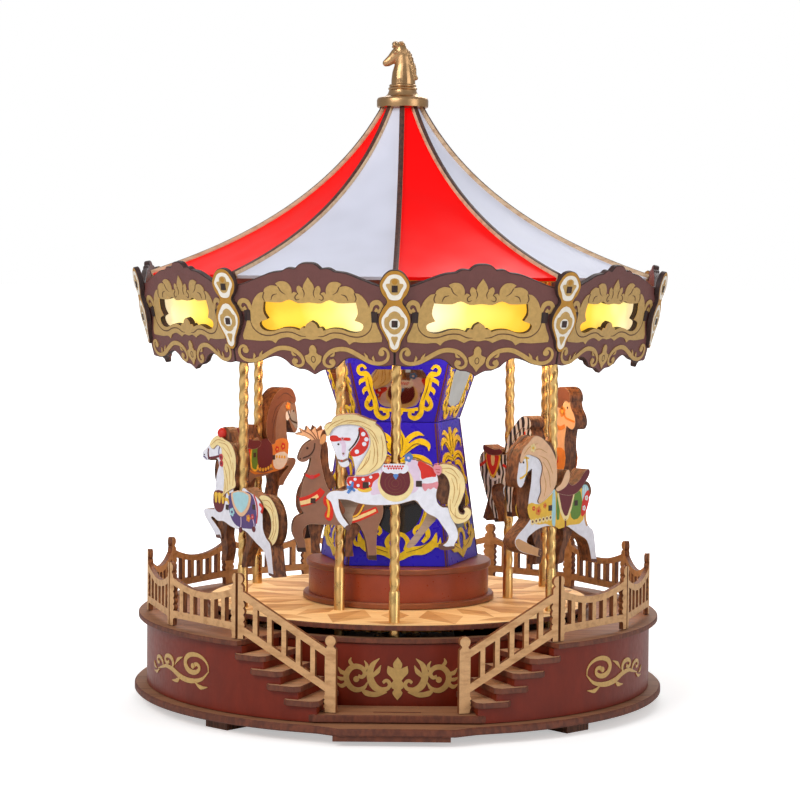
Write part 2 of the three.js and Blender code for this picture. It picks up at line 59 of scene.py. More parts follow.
# ---------- camera, light and floor ----------
def add_camera():
    pitch, roll = math.radians(CAMERA_PITCH), math.radians(CAMERA_ROLL)
    forward = Vector((0, math.cos(pitch), -math.sin(pitch)))
    right = Vector((1, 0, 0))
    up = right.cross(forward)
    turned_right = math.cos(roll) * right + math.sin(roll) * up
    turned_up = -math.sin(roll) * right + math.cos(roll) * up
    data = bpy.data.cameras.new("camera")
    data.lens = CAMERA_LENS
    data.sensor_width = 36
    data.clip_start, data.clip_end = 0.05, 20
    camera = bpy.data.objects.new("camera", data)
    rotation = Matrix((turned_right, turned_up, -forward)).transposed().to_4x4()
    camera.matrix_world = Matrix.Translation(CAMERA_PLACE) @ rotation
    bpy.context.scene.collection.objects.link(camera)
    bpy.context.scene.camera = camera


def add_area(name, place, aim, size, power, color=(1, 1, 1)):
    data = bpy.data.lights.new(name, "AREA")
    data.shape = "RECTANGLE"
    data.size, data.size_y = size
    data.energy = power
    data.color = color
    lamp = bpy.data.objects.new(name, data)
    lamp.location = place
    lamp.rotation_euler = (Vector(aim) - Vector(place)).to_track_quat("-Z", "Y").to_euler()
    bpy.context.scene.collection.objects.link(lamp)


def add_studio():
    """Soft light from the left, with a white backdrop that only the camera sees at full strength."""
    world = bpy.data.worlds.new("studio")
    bpy.context.scene.world = world
    world.use_nodes = True
    tree = world.node_tree
    rays = tree.nodes.new("ShaderNodeLightPath")
    level = tree.nodes.new("ShaderNodeMapRange")
    level.inputs["To Min"].default_value = 0.42
    level.inputs["To Max"].default_value = 1.0
    tree.links.new(rays.outputs["Is Camera Ray"], level.inputs["Value"])
    sky = tree.nodes["Background"]
    sky.inputs["Color"].default_value = (1, 1, 1, 1)
    tree.links.new(level.outputs["Result"], sky.inputs["Strength"])
    add_area("key_light", (-0.75, -1.0, 0.95), (0, 0, 0.13), (0.7, 0.7), 10)
    add_area("fill_light", (1.1, -0.8, 0.45), (0, 0, 0.12), (0.6, 0.9), 4)
    add_area("back_light", (0.2, 1.1, 0.9), (0, 0, 0.15), (0.9, 0.5), 6)
    # warm lamps under the canopy
    for angle in range(0, 360, 60):
        x, y = around(CANOPY_LAMP_RADIUS, angle + 30)
        add_area(f"canopy_lamp_{angle}", (x, y, CANOPY_LAMP_HEIGHT), (1.1 * x, 1.1 * y, 0), (0.03, 0.03),
                 0.03, WARM_LIGHT)
    bpy.context.scene.view_settings.view_transform = "Standard"


# ---------- shape helpers ----------
def around(radius, angle):
    turn = math.radians(angle)
    return radius * math.sin(turn), -radius * math.cos(turn)


def ring_points(radius, start, end, steps):
    return [around(radius, start + (end - start) * i / steps) for i in range(steps + 1)]


def circle_points(x, y, radius, steps=20):
    return [(x + radius * math.cos(2 * math.pi * i / steps),
             y + radius * math.sin(2 * math.pi * i / steps)) for i in range(steps)]


def mirrored(half):
    """A closed outline from its right half, given from top to bottom."""
    left = [(-point[0], *point[1:]) for point in reversed(half) if abs(point[0]) > 1e-6]
    return list(half) + left


def spline(points, closed=False, steps=6):
    """A smooth line through the points. A point with a third value is a sharp corner."""
    count = len(points)
    line = []
    for i in range(count if closed else count - 1):
        start, end = points[i], points[(i + 1) % count]
        before = points[i - 1] if closed or i > 0 else start
        after = points[(i + 2) % count] if closed or i + 2 < count else end
        chord = Vector(end[:2]) - Vector(start[:2])
        leave = chord if len(start) > 2 else Vector(end[:2]) - Vector(before[:2])
        arrive = chord if len(end) > 2 else Vector(after[:2]) - Vector(start[:2])
        leave = leave.normalized() * chord.length
        arrive = arrive.normalized() * chord.length
        for step in range(steps):
            t = step / steps
            point = ((2 * t**3 - 3 * t**2 + 1) * Vector(start[:2]) + (t**3 - 2 * t**2 + t) * leave
                     + (3 * t**2 - 2 * t**3) * Vector(end[:2]) + (t**3 - t**2) * arrive)
            line.append(tuple(point))
    if not closed:
        line.append(tuple(points[-1][:2]))
    return line


def area_of(outline):
    return 0.5 * sum(x0 * y1 - x1 * y0 for (x0, y0), (x1, y1) in zip(outline, outline[1:] + outline[:1]))


def inset(loop, distance):
    """The loop moved inwards, into the material on its left."""
    moved = []
    for i, point in enumerate(loop):
        before, after = Vector(loop[i - 1]), Vector(loop[(i + 1) % len(loop)])
        here = Vector(point)
        one, two = (here - before).normalized(), (after - here).normalized()
        normal = Vector((-(one.y + two.y), one.x + two.x))
        if normal.length < 1e-6:
            moved.append(point)
            continue
        normal.normalize()
        spread = max(0.5, normal.dot(Vector((-one.y, one.x))))
        moved.append(tuple(here + normal * (distance / spread)))
    return moved


class Build:
    """Collects faces, in millimetres, for one object."""

    def __init__(self):
        self.points, self.faces, self.slots = [], [], []

    def add(self, points, faces, slot=0):
        first = len(self.points)
        self.points += points
        self.faces += [tuple(first + i for i in face) for face in faces]
        self.slots += [slot] * len(faces)

    def plate(self, outline, low, high, place, holes=(), face=0, edge=1, bevel=0.0):
        """A flat plate: an outline and holes in (u, v), from low to high along w."""
        loops = [outline if area_of(outline) > 0 else outline[::-1]]
        loops += [hole if area_of(hole) < 0 else hole[::-1] for hole in holes]
        capped = [inset(loop, bevel) for loop in loops] if bevel else loops
        flat = [Vector((x, y, 0)) for loop in capped for x, y in loop]
        triangles = tessellate_polygon([[Vector((x, y, 0)) for x, y in loop] for loop in capped])
        upward = []
        for a, b, c in triangles:
            turn = (flat[b] - flat[a]).cross(flat[c] - flat[a]).z
            if abs(turn) > 1e-9:
                upward.append((a, b, c) if turn > 0 else (a, c, b))
        levels = [(low, capped), (high, capped)]
        if bevel:
            levels = [(low, capped), (low + bevel, loops), (high - bevel, loops), (high, capped)]
        size = len(flat)
        points = [place(u, v, w) for w, rings in levels for loop in rings for u, v in loop]
        top = (len(levels) - 1) * size
        self.add(points, [(c, b, a) for a, b, c in upward] + [(top + a, top + b, top + c) for a, b,
                                                              c in upward], face)
        walls = []
        for level in range(len(levels) - 1):
            start = level * size
            for loop in capped:
                count = len(loop)
                for i in range(count):
                    j = (i + 1) % count
                    walls.append((start + i, start + j, start + size + j, start + size + i))
                start += count
        first = len(self.points) - len(points)
        self.faces += [tuple(first + i for i in wall) for wall in walls]
        self.slots += [edge] * len(walls)

    def ribbon(self, path, widths, low, high, place, slot=0, steps=6):
        """A flat band along a smooth path; its width runs through the widths given."""
        line = spline(path, steps=steps)
        count = len(line)
        section = []
        for i, point in enumerate(line):
            along = Vector(line[min(i + 1, count - 1)]) - Vector(line[max(i - 1, 0)])
            along = along.normalized() if along.length > 1e-9 else Vector((1, 0))
            share = i / (count - 1) * (len(widths) - 1)
            index = min(int(share), len(widths) - 2)
            width = widths[index] + (widths[index + 1] - widths[index]) * (share - index)
            side = Vector((-along.y, along.x)) * max(width, 0.04) / 2
            left, right = Vector(point) + side, Vector(point) - side
            section.append((place(right.x, right.y, low), place(left.x, left.y, low),
                            place(left.x, left.y, high), place(right.x, right.y, high)))
        self.loft(section, slot)

    def loft(self, sections, slot=0, capped=True, closed=False):
        """Joins equal rings of points, each ring anticlockwise seen from the path's end."""
        count, size = len(sections), len(sections[0])
        faces = []
        for i in range(count if closed else count - 1):
            here, there = i * size, ((i + 1) % count) * size
            for k in range(size):
                n = (k + 1) % size
                faces.append((here + k, there + k, there + n, here + n))
        if capped and not closed:
            faces.append(tuple(range(size)))
            faces.append(tuple(reversed(range((count - 1) * size, count * size))))
        self.add([point for section in sections for point in section], faces, slot)

    def lathe(self, profile, steps, slot=0):
        """Turns a closed profile of (radius, height) about the Z axis."""
        rings = []
        for i in range(steps):
            x, y = around(1, 360 * i / steps)
            rings.append([(r * x, r * y, z) for r, z in profile])
        self.loft(rings, slot, closed=True)

    def ball(self, centre, radii, slot=0, steps=10):
        rings = []
        for i in range(1, steps):
            polar = math.pi * i / steps
            rings.append([(centre[0] + radii[0] * math.sin(polar) * math.cos(2 * math.pi * k / (2 * steps)),
                           centre[1] + radii[1] * math.sin(polar) * math.sin(2 * math.pi * k / (2 * steps)),
                           centre[2] + radii[2] * math.cos(polar)) for k in range(2 * steps)])
        self.loft(rings, slot)

    def make(self, name, materials, body, slot, replaces=(), smooth_angle=35):
        mesh = bpy.data.meshes.new(name)
        mesh.from_pydata([(x * MM, y * MM, z * MM) for x, y, z in self.points], [], self.faces)
        for material in materials:
            mesh.materials.append(material)
        mesh.polygons.foreach_set("material_index", self.slots)
        mesh.polygons.foreach_set("use_smooth", [True] * len(self.faces))
        mesh.set_sharp_from_angle(angle=math.radians(smooth_angle))
        mesh.validate()
        mesh.update()
        piece = bpy.data.objects.new(name, mesh)
        bpy.context.scene.collection.objects.link(piece)
        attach(piece, body)
        if replaces:
            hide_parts(*replaces)
        return piece


# places turn (u, v, w) on a flat outline into a point: u to the right, v up, w outwards
def level_place(turn=0.0):
    """u, v are x, y seen from above, and w is the height."""
    cos, sin = math.cos(math.radians(turn)), math.sin(math.radians(turn))
    return lambda u, v, w: (u * cos - v * sin, u * sin + v * cos, w)


def flat_place(origin, angle, lean=0.0):
    """A plane whose w points away from the axis at that angle, leaning outwards at the top."""
    turn, tilt = math.radians(angle), math.radians(lean)
    across = Vector((math.cos(turn), math.sin(turn), 0))
    out = Vector((math.sin(turn), -math.cos(turn), 0))
    up = Vector((0, 0, 1)) * math.cos(tilt) + out * math.sin(tilt)
    away = out * math.cos(tilt) - Vector((0, 0, 1)) * math.sin(tilt)
    start = Vector(origin)
    return lambda u, v, w: tuple(start + across * u + up * v + away * w)


def drum_place(radius, angle, height=0.0):
    """A cylinder wall: u runs round it, v up it and w outwards."""
    return lambda u, v, w: (*around(radius + w, angle + math.degrees(u / radius)), height + v)


# ---------- materials ----------
def linear(color):
    return tuple((c / 255 / 12.92) if c <= 10 else ((c / 255 + 0.055) / 1.055) ** 2.4 for c in color)


def new_material(name):
    material = bpy.data.materials.new(name)
    material.use_nodes = True
    tree = material.node_tree
    return material, tree, tree.nodes["Principled BSDF"]


def add_noise(tree, scale, stretch=(1, 1, 1), detail=3.0, roughness=0.55):
    coordinates = tree.nodes.new("ShaderNodeTexCoord")
    mapping = tree.nodes.new("ShaderNodeMapping")
    mapping.inputs["Scale"].default_value = stretch
    texture = tree.nodes.new("ShaderNodeTexNoise")
    texture.inputs["Scale"].default_value = scale
    texture.inputs["Detail"].default_value = detail
    texture.inputs["Roughness"].default_value = roughness
    tree.links.new(coordinates.outputs["Object"], mapping.inputs["Vector"])
    tree.links.new(mapping.outputs["Vector"], texture.inputs["Vector"])
    return texture.outputs["Fac"]


def add_ramp(tree, factor, stops):
    ramp = tree.nodes.new("ShaderNodeValToRGB")
    elements = ramp.color_ramp.elements
    while len(elements) < len(stops):
        elements.new(0.5)
    for element, (position, color) in zip(elements, stops):
        element.position = position
        element.color = (*color, 1)
    tree.links.new(factor, ramp.inputs["Fac"])
    return ramp.outputs["Color"]


def add_mix(tree, factor, one, two):
    mix = tree.nodes.new("ShaderNodeMix")
    mix.data_type = "RGBA"
    tree.links.new(factor, mix.inputs["Factor"])
    for socket, value in ((mix.inputs["A"], one), (mix.inputs["B"], two)):
        if isinstance(value, tuple):
            socket.default_value = (*value, 1)
        else:
            tree.links.new(value, socket)
    return mix.outputs["Result"]


def add_math(tree, operation, *values):
    node = tree.nodes.new("ShaderNodeMath")
    node.operation = operation
    for socket, value in zip(node.inputs, values):
        if isinstance(value, (int, float)):
            socket.default_value = value
        else:
            tree.links.new(value, socket)
    return node.outputs["Value"]


def add_range(tree, value, low, high):
    node = tree.nodes.new("ShaderNodeMapRange")
    node.inputs["From Min"].default_value = 0.3
    node.inputs["From Max"].default_value = 0.7
    node.inputs["To Min"].default_value = low
    node.inputs["To Max"].default_value = high
    tree.links.new(value, node.inputs["Value"])
    return node.outputs["Result"]


def add_bump(tree, shader, height, strength, depth):
    bump = tree.nodes.new("ShaderNodeBump")
    bump.inputs["Strength"].default_value = strength
    bump.inputs["Distance"].default_value = depth * MM
    tree.links.new(height, bump.inputs["Height"])
    tree.links.new(bump.outputs["Normal"], shader.inputs["Normal"])


def shade(color, factor):
    return tuple(min(1.0, c * factor) for c in color)


def painted(name, color, rough=0.5, metal=0.0, variation=0.12, scale=350, stretch=(1, 1, 1),
            bump=0.15, depth=0.05, coat=0.0, gloss=0.5):
    """A coat of colour with slight mottling, uneven gloss and a fine surface."""
    material, tree, shader = new_material(name)
    base = linear(color)
    broad = add_noise(tree, scale, stretch)
    fine = add_noise(tree, scale * 7, stretch, detail=2.0)
    mottled = add_ramp(tree, broad, [(0.3, shade(base, 1 - variation)), (0.7, shade(base, 1 + variation))])
    speckled = add_mix(tree, add_range(tree, fine, 0.0, variation), mottled, shade(base, 0.55))
    tree.links.new(speckled, shader.inputs["Base Color"])
    tree.links.new(add_range(tree, fine, rough * 0.85, min(1.0, rough * 1.15)), shader.inputs["Roughness"])
    shader.inputs["Metallic"].default_value = metal
    shader.inputs["Coat Weight"].default_value = coat
    shader.inputs["Coat Roughness"].default_value = 0.15
    shader.inputs["Specular IOR Level"].default_value = gloss
    add_bump(tree, shader, fine, bump, depth)
    return material


def wooden(name, color, dark, grain=(1, 12, 12), scale=45, rough=0.62, contrast=0.5, bump=0.25):
    """Plywood: long grain with darker lines, pores and a matt surface."""
    material, tree, shader = new_material(name)
    base, line = linear(color), linear(dark)
    broad = add_noise(tree, scale, grain, detail=4.0)
    fibres = add_noise(tree, scale * 9, (grain[0] * 0.6, grain[1], grain[2]), detail=2.0, roughness=0.7)
    pores = add_noise(tree, 1600, (1, 1, 1), detail=1.0)
    tinted = add_ramp(tree, broad, [(0.32, line), (0.5, base), (0.72, shade(base, 1.12))])
    softened = add_mix(tree, add_range(tree, fibres, 1 - contrast, 0.95), line, tinted)
    tree.links.new(add_mix(tree, add_range(tree, pores, 0.0, 0.14), softened, shade(line, 0.6)),
                   shader.inputs["Base Color"])
    tree.links.new(add_range(tree, fibres, rough * 0.85, rough * 1.15), shader.inputs["Roughness"])
    add_bump(tree, shader, fibres, bump, 0.06)
    return material


def burnt(name, color, dark, stripes=(1, 1, 0.12), scale=900):
    """The laser-cut edge of plywood: scorched, with lighter and darker stripes across it."""
    material, tree, shader = new_material(name)
    base, scorched = linear(color), linear(dark)
    bars = add_noise(tree, scale, stripes, detail=2.0, roughness=0.6)
    clouds = add_noise(tree, scale / 5, (1, 1, 1), detail=2.0)
    striped = add_ramp(tree, bars, [(0.38, scorched), (0.62, base)])
    tree.links.new(add_mix(tree, add_range(tree, clouds, 0.0, 0.55), striped, shade(scorched, 1.3)),
                   shader.inputs["Base Color"])
    shader.inputs["Roughness"].default_value = 0.6
    add_bump(tree, shader, bars, 0.3, 0.08)
    return material


def by_facing(name, face, edge):
    """One material for a CAD board: its level faces take one look and its cut edges another."""
    material, tree, shader = new_material(name)
    geometry = tree.nodes.new("ShaderNodeNewGeometry")
    split = tree.nodes.new("ShaderNodeSeparateXYZ")
    tree.links.new(geometry.outputs["Normal"], split.inputs["Vector"])
    level = add_math(tree, "GREATER_THAN", add_math(tree, "ABSOLUTE", split.outputs["Z"]), 0.7)
    grain = add_noise(tree, 45, (1, 12, 12), detail=4.0)
    bars = add_noise(tree, 900, (1, 1, 0.12), detail=2.0)
    top = add_ramp(tree, grain, [(0.32, shade(linear(face), 0.72)), (0.7, shade(linear(face), 1.1))])
    cut = add_ramp(tree, bars, [(0.38, shade(linear(edge), 0.45)), (0.62, linear(edge))])
    tree.links.new(add_mix(tree, level, cut, top), shader.inputs["Base Color"])
    shader.inputs["Roughness"].default_value = 0.62
    add_bump(tree, shader, bars, 0.2, 0.05)
    return material


def metallic(name, color, rough=0.25, scale=260, bump=0.08, worn=0.35):
    """Plated metal: slightly uneven colour and polish."""
    material, tree, shader = new_material(name)
    base = linear(color)
    broad = add_noise(tree, scale, (1, 1, 1), detail=4.0)
    fine = add_noise(tree, scale * 8, (1, 1, 1), detail=2.0)
    tree.links.new(add_ramp(tree, broad, [(0.3, shade(base, 1 - worn)), (0.6, base),
                                          (0.8, shade(base, 1.15))]), shader.inputs["Base Color"])
    tree.links.new(add_range(tree, broad, rough * 0.75, rough * 1.4), shader.inputs["Roughness"])
    shader.inputs["Metallic"].default_value = 1.0
    add_bump(tree, shader, fine, bump, 0.04)
    return material


def glowing(name, color, strength, rough=0.4, gloss=0.5):
    """Milky plastic lit from behind by small warm lamps."""
    material, tree, shader = new_material(name)
    broad = add_noise(tree, 60, (1, 1, 0.4), detail=1.0)
    base = linear(color)
    tint = add_ramp(tree, broad, [(0.3, shade(base, 0.92)), (0.7, base)])
    tree.links.new(tint, shader.inputs["Base Color"])
    tree.links.new(tint, shader.inputs["Emission Color"])
    shader.inputs["Emission Strength"].default_value = strength
    shader.inputs["Specular IOR Level"].default_value = gloss
    tree.links.new(add_range(tree, broad, rough * 0.9, rough * 1.1), shader.inputs["Roughness"])
    return material


def diffuser_glow():
    """Warm light behind the windows: pale near the lamps at the front and back, amber between."""
    material, tree, shader = new_material("diffuser_glow")
    coordinates = tree.nodes.new("ShaderNodeTexCoord")
    split = tree.nodes.new("ShaderNodeSeparateXYZ")
    tree.links.new(coordinates.outputs["Object"], split.inputs["Vector"])
    angle = add_math(tree, "ARCTAN2", split.outputs["X"], add_math(tree, "MULTIPLY", split.outputs["Y"],
                                                                   -1.0))
    # the lamps sit behind every second corner, so each pair of windows fades away from its shared corner
    phase = add_math(tree, "COSINE", add_math(tree, "MULTIPLY", angle, 5.0))
    drift = add_noise(tree, 55, (1, 1, 1), detail=1.0)
    level = add_math(tree, "ADD", add_math(tree, "MULTIPLY", phase, 0.5),
                     add_math(tree, "MULTIPLY", drift, 0.5))
    tint = add_ramp(tree, level, [(0.0, linear((250, 196, 56))), (0.35, linear((253, 230, 112))),
                                  (0.75, linear((252, 240, 196)))])
    tree.links.new(tint, shader.inputs["Base Color"])
    tree.links.new(tint, shader.inputs["Emission Color"])
    shader.inputs["Emission Strength"].default_value = 0.85
    shader.inputs["Roughness"].default_value = 0.5
    return material


def mirror_material():
    material, tree, shader = new_material("mirror")
    smudges = add_noise(tree, 120, (1, 1, 1), detail=3.0)
    shader.inputs["Metallic"].default_value = 1.0
    tree.links.new(add_ramp(tree, smudges, [(0.3, (0.4, 0.37, 0.33)), (0.7, (0.5, 0.47, 0.43))]),
                   shader.inputs["Base Color"])
    tree.links.new(add_range(tree, smudges, 0.02, 0.06), shader.inputs["Roughness"])
    return material


brown_face = wooden("brown_board_face", (164, 114, 80), (132, 86, 58), scale=30, contrast=0.3)
brown_edge = burnt("brown_board_edge", (118, 60, 36), (84, 40, 24), stripes=(1, 1, 0.5), scale=500)
tread_face = wooden("tread_face", (206, 160, 122), (166, 120, 86), scale=30, contrast=0.3)
red_face = painted("red_wall_face", (116, 34, 14), rough=0.38, variation=0.16, scale=160,
                   stretch=(1, 1, 0.35), bump=0.2, gloss=0.3)
drum_face = painted("pedestal_face", (150, 62, 34), rough=0.32, variation=0.1, scale=120, bump=0.1)
drum_ring = painted("pedestal_ring", (134, 72, 42), rough=0.34, variation=0.14, scale=160, bump=0.12)
pale_face = wooden("fence_face", (214, 168, 118), (184, 136, 88), scale=35, contrast=0.3)
pale_edge = burnt("fence_edge", (158, 94, 46), (92, 50, 24), scale=1200)
plum_face = painted("cornice_face", (108, 62, 58), rough=0.5, variation=0.08, scale=220, bump=0.12)
plum_edge = burnt("cornice_edge", (70, 38, 34), (38, 20, 18))
gold_print = painted("gold_print", (198, 160, 96), rough=0.36, metal=0.4, variation=0.1, scale=700, bump=0.2)
gold_groove = painted("gold_groove", (92, 60, 36), rough=0.6, variation=0.1)
ochre_print = painted("ochre_print", (188, 134, 44), rough=0.45, metal=0.2, variation=0.1, scale=600)
ivory_print = painted("ivory_print", (240, 234, 222), rough=0.5, variation=0.05, scale=500)
dark_tenon = burnt("dark_tenon", (66, 40, 34), (34, 20, 18))
brass_metal = metallic("pole_brass", (244, 200, 128), rough=0.3, worn=0.15)
satin_gold = metallic("cap_gold", (196, 156, 112), rough=0.32, scale=120, worn=0.15)
steel_metal = metallic("steel", (180, 182, 186), rough=0.3, worn=0.15)
red_plastic = glowing("canopy_red", (226, 1, 3), 0.5, rough=0.5, gloss=0.12)
white_plastic = glowing("canopy_white", (214, 216, 232), 0.12, rough=0.55, gloss=0.2)
rib_side = wooden("rib_side", (222, 192, 158), (192, 152, 116), scale=40, contrast=0.3)
rib_edge = burnt("rib_edge", (104, 62, 48), (62, 34, 28))
blue_paint = painted("column_blue", (40, 20, 214), rough=0.3, variation=0.05, scale=40, bump=0.02, gloss=0.35)
blue_trim = painted("column_trim", (84, 38, 40), rough=0.5)
leaf_gold = painted("column_gold", (228, 204, 22), rough=0.36, variation=0.14, scale=500, bump=0.2)
leaf_line = painted("column_line", (98, 70, 24), rough=0.55)
mirror = mirror_material()
dark_glass = painted("dark_glass", (20, 20, 26), rough=0.06, variation=0.2, scale=30, bump=0, coat=0.6)
cream_veneer = wooden("veneer_cream", (246, 214, 160), (232, 192, 132), scale=30, contrast=0.3)
tan_veneer = wooden("veneer_tan", (206, 158, 100), (180, 130, 76), scale=30, contrast=0.3)
amber_veneer = wooden("veneer_amber", (222, 180, 122), (198, 150, 92), scale=30, contrast=0.3)
black_plastic = painted("black_plastic", (40, 40, 44), rough=0.45, variation=0.1, scale=900)
lamp_board_paint = painted("lamp_board_face", (232, 228, 208), rough=0.4, variation=0.05)
cad_brown = by_facing("cad_brown_board", (142, 104, 82), (108, 66, 46))


def give(node, material):
    """A CAD node keeps its shape and takes this material."""
    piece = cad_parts[node]
    piece.data.materials.clear()
    piece.data.materials.append(material)


# ---------- base ----------
FLANGE_RADIUS = 109
WALL_RADIUS = 104
BOARD = 3
FOOT_HEIGHT = 4
THIN_BOARD = 2
TOP_BOARD_TOP = 35.9
LANDING_TOP = 10.3
RECESS_ANGLE = 34.6
RECESS_RADIUS = 80


def base_boards():
    up = level_place()
    flange = ring_points(FLANGE_RADIUS, 24, 336, 200) + [(-30, -104.8), (-22, -109.8), (22, -109.8),
                                                         (30, -104.8)]
    bay = [(-22, -28), (22, -28), (22, 28), (-22, 28)]
    board = Build()
    board.plate(flange, FOOT_HEIGHT, FOOT_HEIGHT + BOARD, up, holes=[bay], bevel=0.6)
    board.plate([(-24, -108.5), (20, -108.5), (16, -98), (-20, -98)], 2, FOOT_HEIGHT + 0.2, up)
    board.make("bottom_board_looks", [brown_face, brown_edge], "base", "brown_board", ["bottom_board"])

    deck = Build()
    outline = ring_points(107.4, RECESS_ANGLE, 360 - RECESS_ANGLE, 200)
    outline += ring_points(RECESS_RADIUS, -RECESS_ANGLE, RECESS_ANGLE, 48)
    deck.plate(outline, TOP_BOARD_TOP - THIN_BOARD, TOP_BOARD_TOP, up,
               holes=[ring_points(75.8, 0, 360, 160)[:-1]], bevel=0.3)
    deck.make("top_board_looks", [brown_face, brown_edge], "base", "brown_board", ["top_board"])

    landing = Build()
    landing.plate([(-33.4, -98.4), (-31.6, -100), (31.6, -100), (33.4, -98.4), (28.4, -90), (25, -80),
                   (12, -80.8), (-12, -80.8), (-25, -80), (-28.4, -90)], LANDING_TOP - BOARD, LANDING_TOP, up,
                  bevel=0.4)
    # a shallow inlaid threshold strip between the newels
    landing.plate([(-9, -94.6), (9, -94.6), (9, -93.2), (-9, -93.2)], LANDING_TOP, LANDING_TOP + 0.12, up,
                  face=1)
    landing.make("landing_looks", [brown_face, brown_edge], "base", "brown_board", ["landing_plate"])


def arc_wall(build, inner, outer, start, end, bottom, top, steps):
    sections = []
    for i in range(steps + 1):
        angle = start + (end - start) * i / steps
        (x0, y0), (x1, y1) = around(inner, angle), around(outer, angle)
        sections.append([(x0, y0, bottom), (x1, y1, bottom), (x1, y1, top), (x0, y0, top)])
    build.loft(sections)


def base_walls():
    bottom, top = 7.3, 33.6
    wall = Build()
    for start, end in ((RECESS_ANGLE + 0.2, 177), (183, 360 - RECESS_ANGLE - 0.2)):
        arc_wall(wall, WALL_RADIUS - 3, WALL_RADIUS, start, end, bottom, top, 130)
    half = math.radians(3) * WALL_RADIUS
    corners = [(-half, 0), (half, 0), (half, top - bottom), (-half, top - bottom)]
    wall.plate(corners, -3, 0, drum_place(WALL_RADIUS, 180, bottom),
               holes=[circle_points(0, 20 - bottom, 4.5)], face=0, edge=0)
    wall.make("base_wall_looks", [red_face], "base", "red_wood", ["base_wall"])

    front = Build()
    arc_wall(front, 76.3, RECESS_RADIUS - 1.2, -38, 38, bottom, top, 60)
    for side in (-1, 1):
        turn = math.radians(side * 36.3)
        place = lambda u, v, w: (u * math.cos(turn) - v * math.sin(turn),
                                 u * math.sin(turn) + v * math.cos(turn), w)
        front.plate([(-1, -100.6), (1, -100.6), (1, -79.2), (-1, -79.2)], bottom, top, place, face=0, edge=0)
    front.make("front_wall_looks", [red_face], "base", "red_wood", ["front_wall"])

    collar = Build()
    profile = [(4.4, 0.05), (5.8, 0.05), (5.8, 0.6), (5.4, 0.9), (4.4, 0.9)]
    place = drum_place(WALL_RADIUS, 180, 20)
    rings = [[place(r * math.cos(a), r * math.sin(a), w) for r, w in profile]
             for a in (2 * math.pi * i / 32 for i in range(32))]
    collar.loft(rings, closed=True)
    collar.make("button_collar", [satin_gold], "base", "gold_cap")

    button = Build()
    tip = drum_place(103, 180, 20)
    outline = [(0.2, -5.4), (3.9, -5.4), (3.9, 2.8), (3.4, 3.4), (0.2, 3.5)]
    rings = [[tip(r * math.cos(a), r * math.sin(a), w) for r, w in outline]
             for a in (2 * math.pi * i / 32 for i in range(32))]
    button.loft(rings, closed=True)
    button.plate(circle_points(0, 0, 0.3, 12), -5.4, 3.48, tip, face=0, edge=0)
    button.make("power_button_looks", [brass_metal], "button", "brass", ["power_button"])


def scroll(build, place, flip=1):
    """The gold scrollwork of the side walls: one big curl, an S-curve and small leaves."""
    long, tall, bold = 1.21, 0.7, 1.1

    def turned(points):
        return [(flip * long * x, tall * y) for x, y in points]

    strokes = [([(15.6, 3.2), (17.4, 4.4), (18.8, 3), (18, 0.6), (15, -0.6), (12, 1), (11, 4.4), (12.6, 8),
                 (16.6, 9.6), (20.6, 8.4), (23, 5), (23.4, 1)], [1.7, 1.3, 1.3, 1.5, 1.8, 2.0, 2.0, 1.8, 1.5,
                                                                 1.1, 0.7, 0.2]),
               ([(23.6, 1.6), (20, -3.4), (14, -5.6), (8, -4.8), (3, -2.2), (-2, -1.4), (-6, -3),
                 (-10, -4.8)], [0.3, 1.2, 1.8, 2.0, 1.7, 1.3, 0.9, 0.2]),
               ([(2, -2.2), (3, 1.4), (1.6, 4.2), (-1.6, 4.6), (-3.2, 2.4), (-1.8, 0.6), (0, 1.6)],
                [0.6, 1.5, 1.6, 1.4, 1.3, 1.1, 1.2]), ([(-4.6, -2.6), (-5.6, 0.4), (-8, 2.2), (-10.6, 1.2),
                                                        (-10.2, -1.2), (-8.4, -1)],
                                                       [0.5, 1.2, 1.3, 1.2, 1.0, 1.0]),
               ([(4.4, 1), (6.4, 4.4), (9.4, 6.6)], [0.2, 1.4, 0.2]),
               ([(8, -4.6), (6, -7.4), (2.4, -8.2)], [0.3, 1.6, 0.2]),
               ([(-11.4, -5.2), (-13.6, -4), (-14.6, -1.8)], [0.2, 1.2, 0.2]),
               ([(-8.6, -5), (-11, -7), (-14, -7)], [0.3, 1.2, 0.2]),
               ([(16.4, -5.6), (19.6, -8), (23, -7.2)], [0.3, 1.5, 0.2]), ]
    for index, (path, widths) in enumerate(strokes):
        build.ribbon(turned(path), [w * bold for w in widths], 0, 0.22 + 0.012 * index, place)
    build.plate(circle_points(flip * 15.4 * long, 3 * tall, 1.1), 0, 0.37, place, face=0, edge=0)


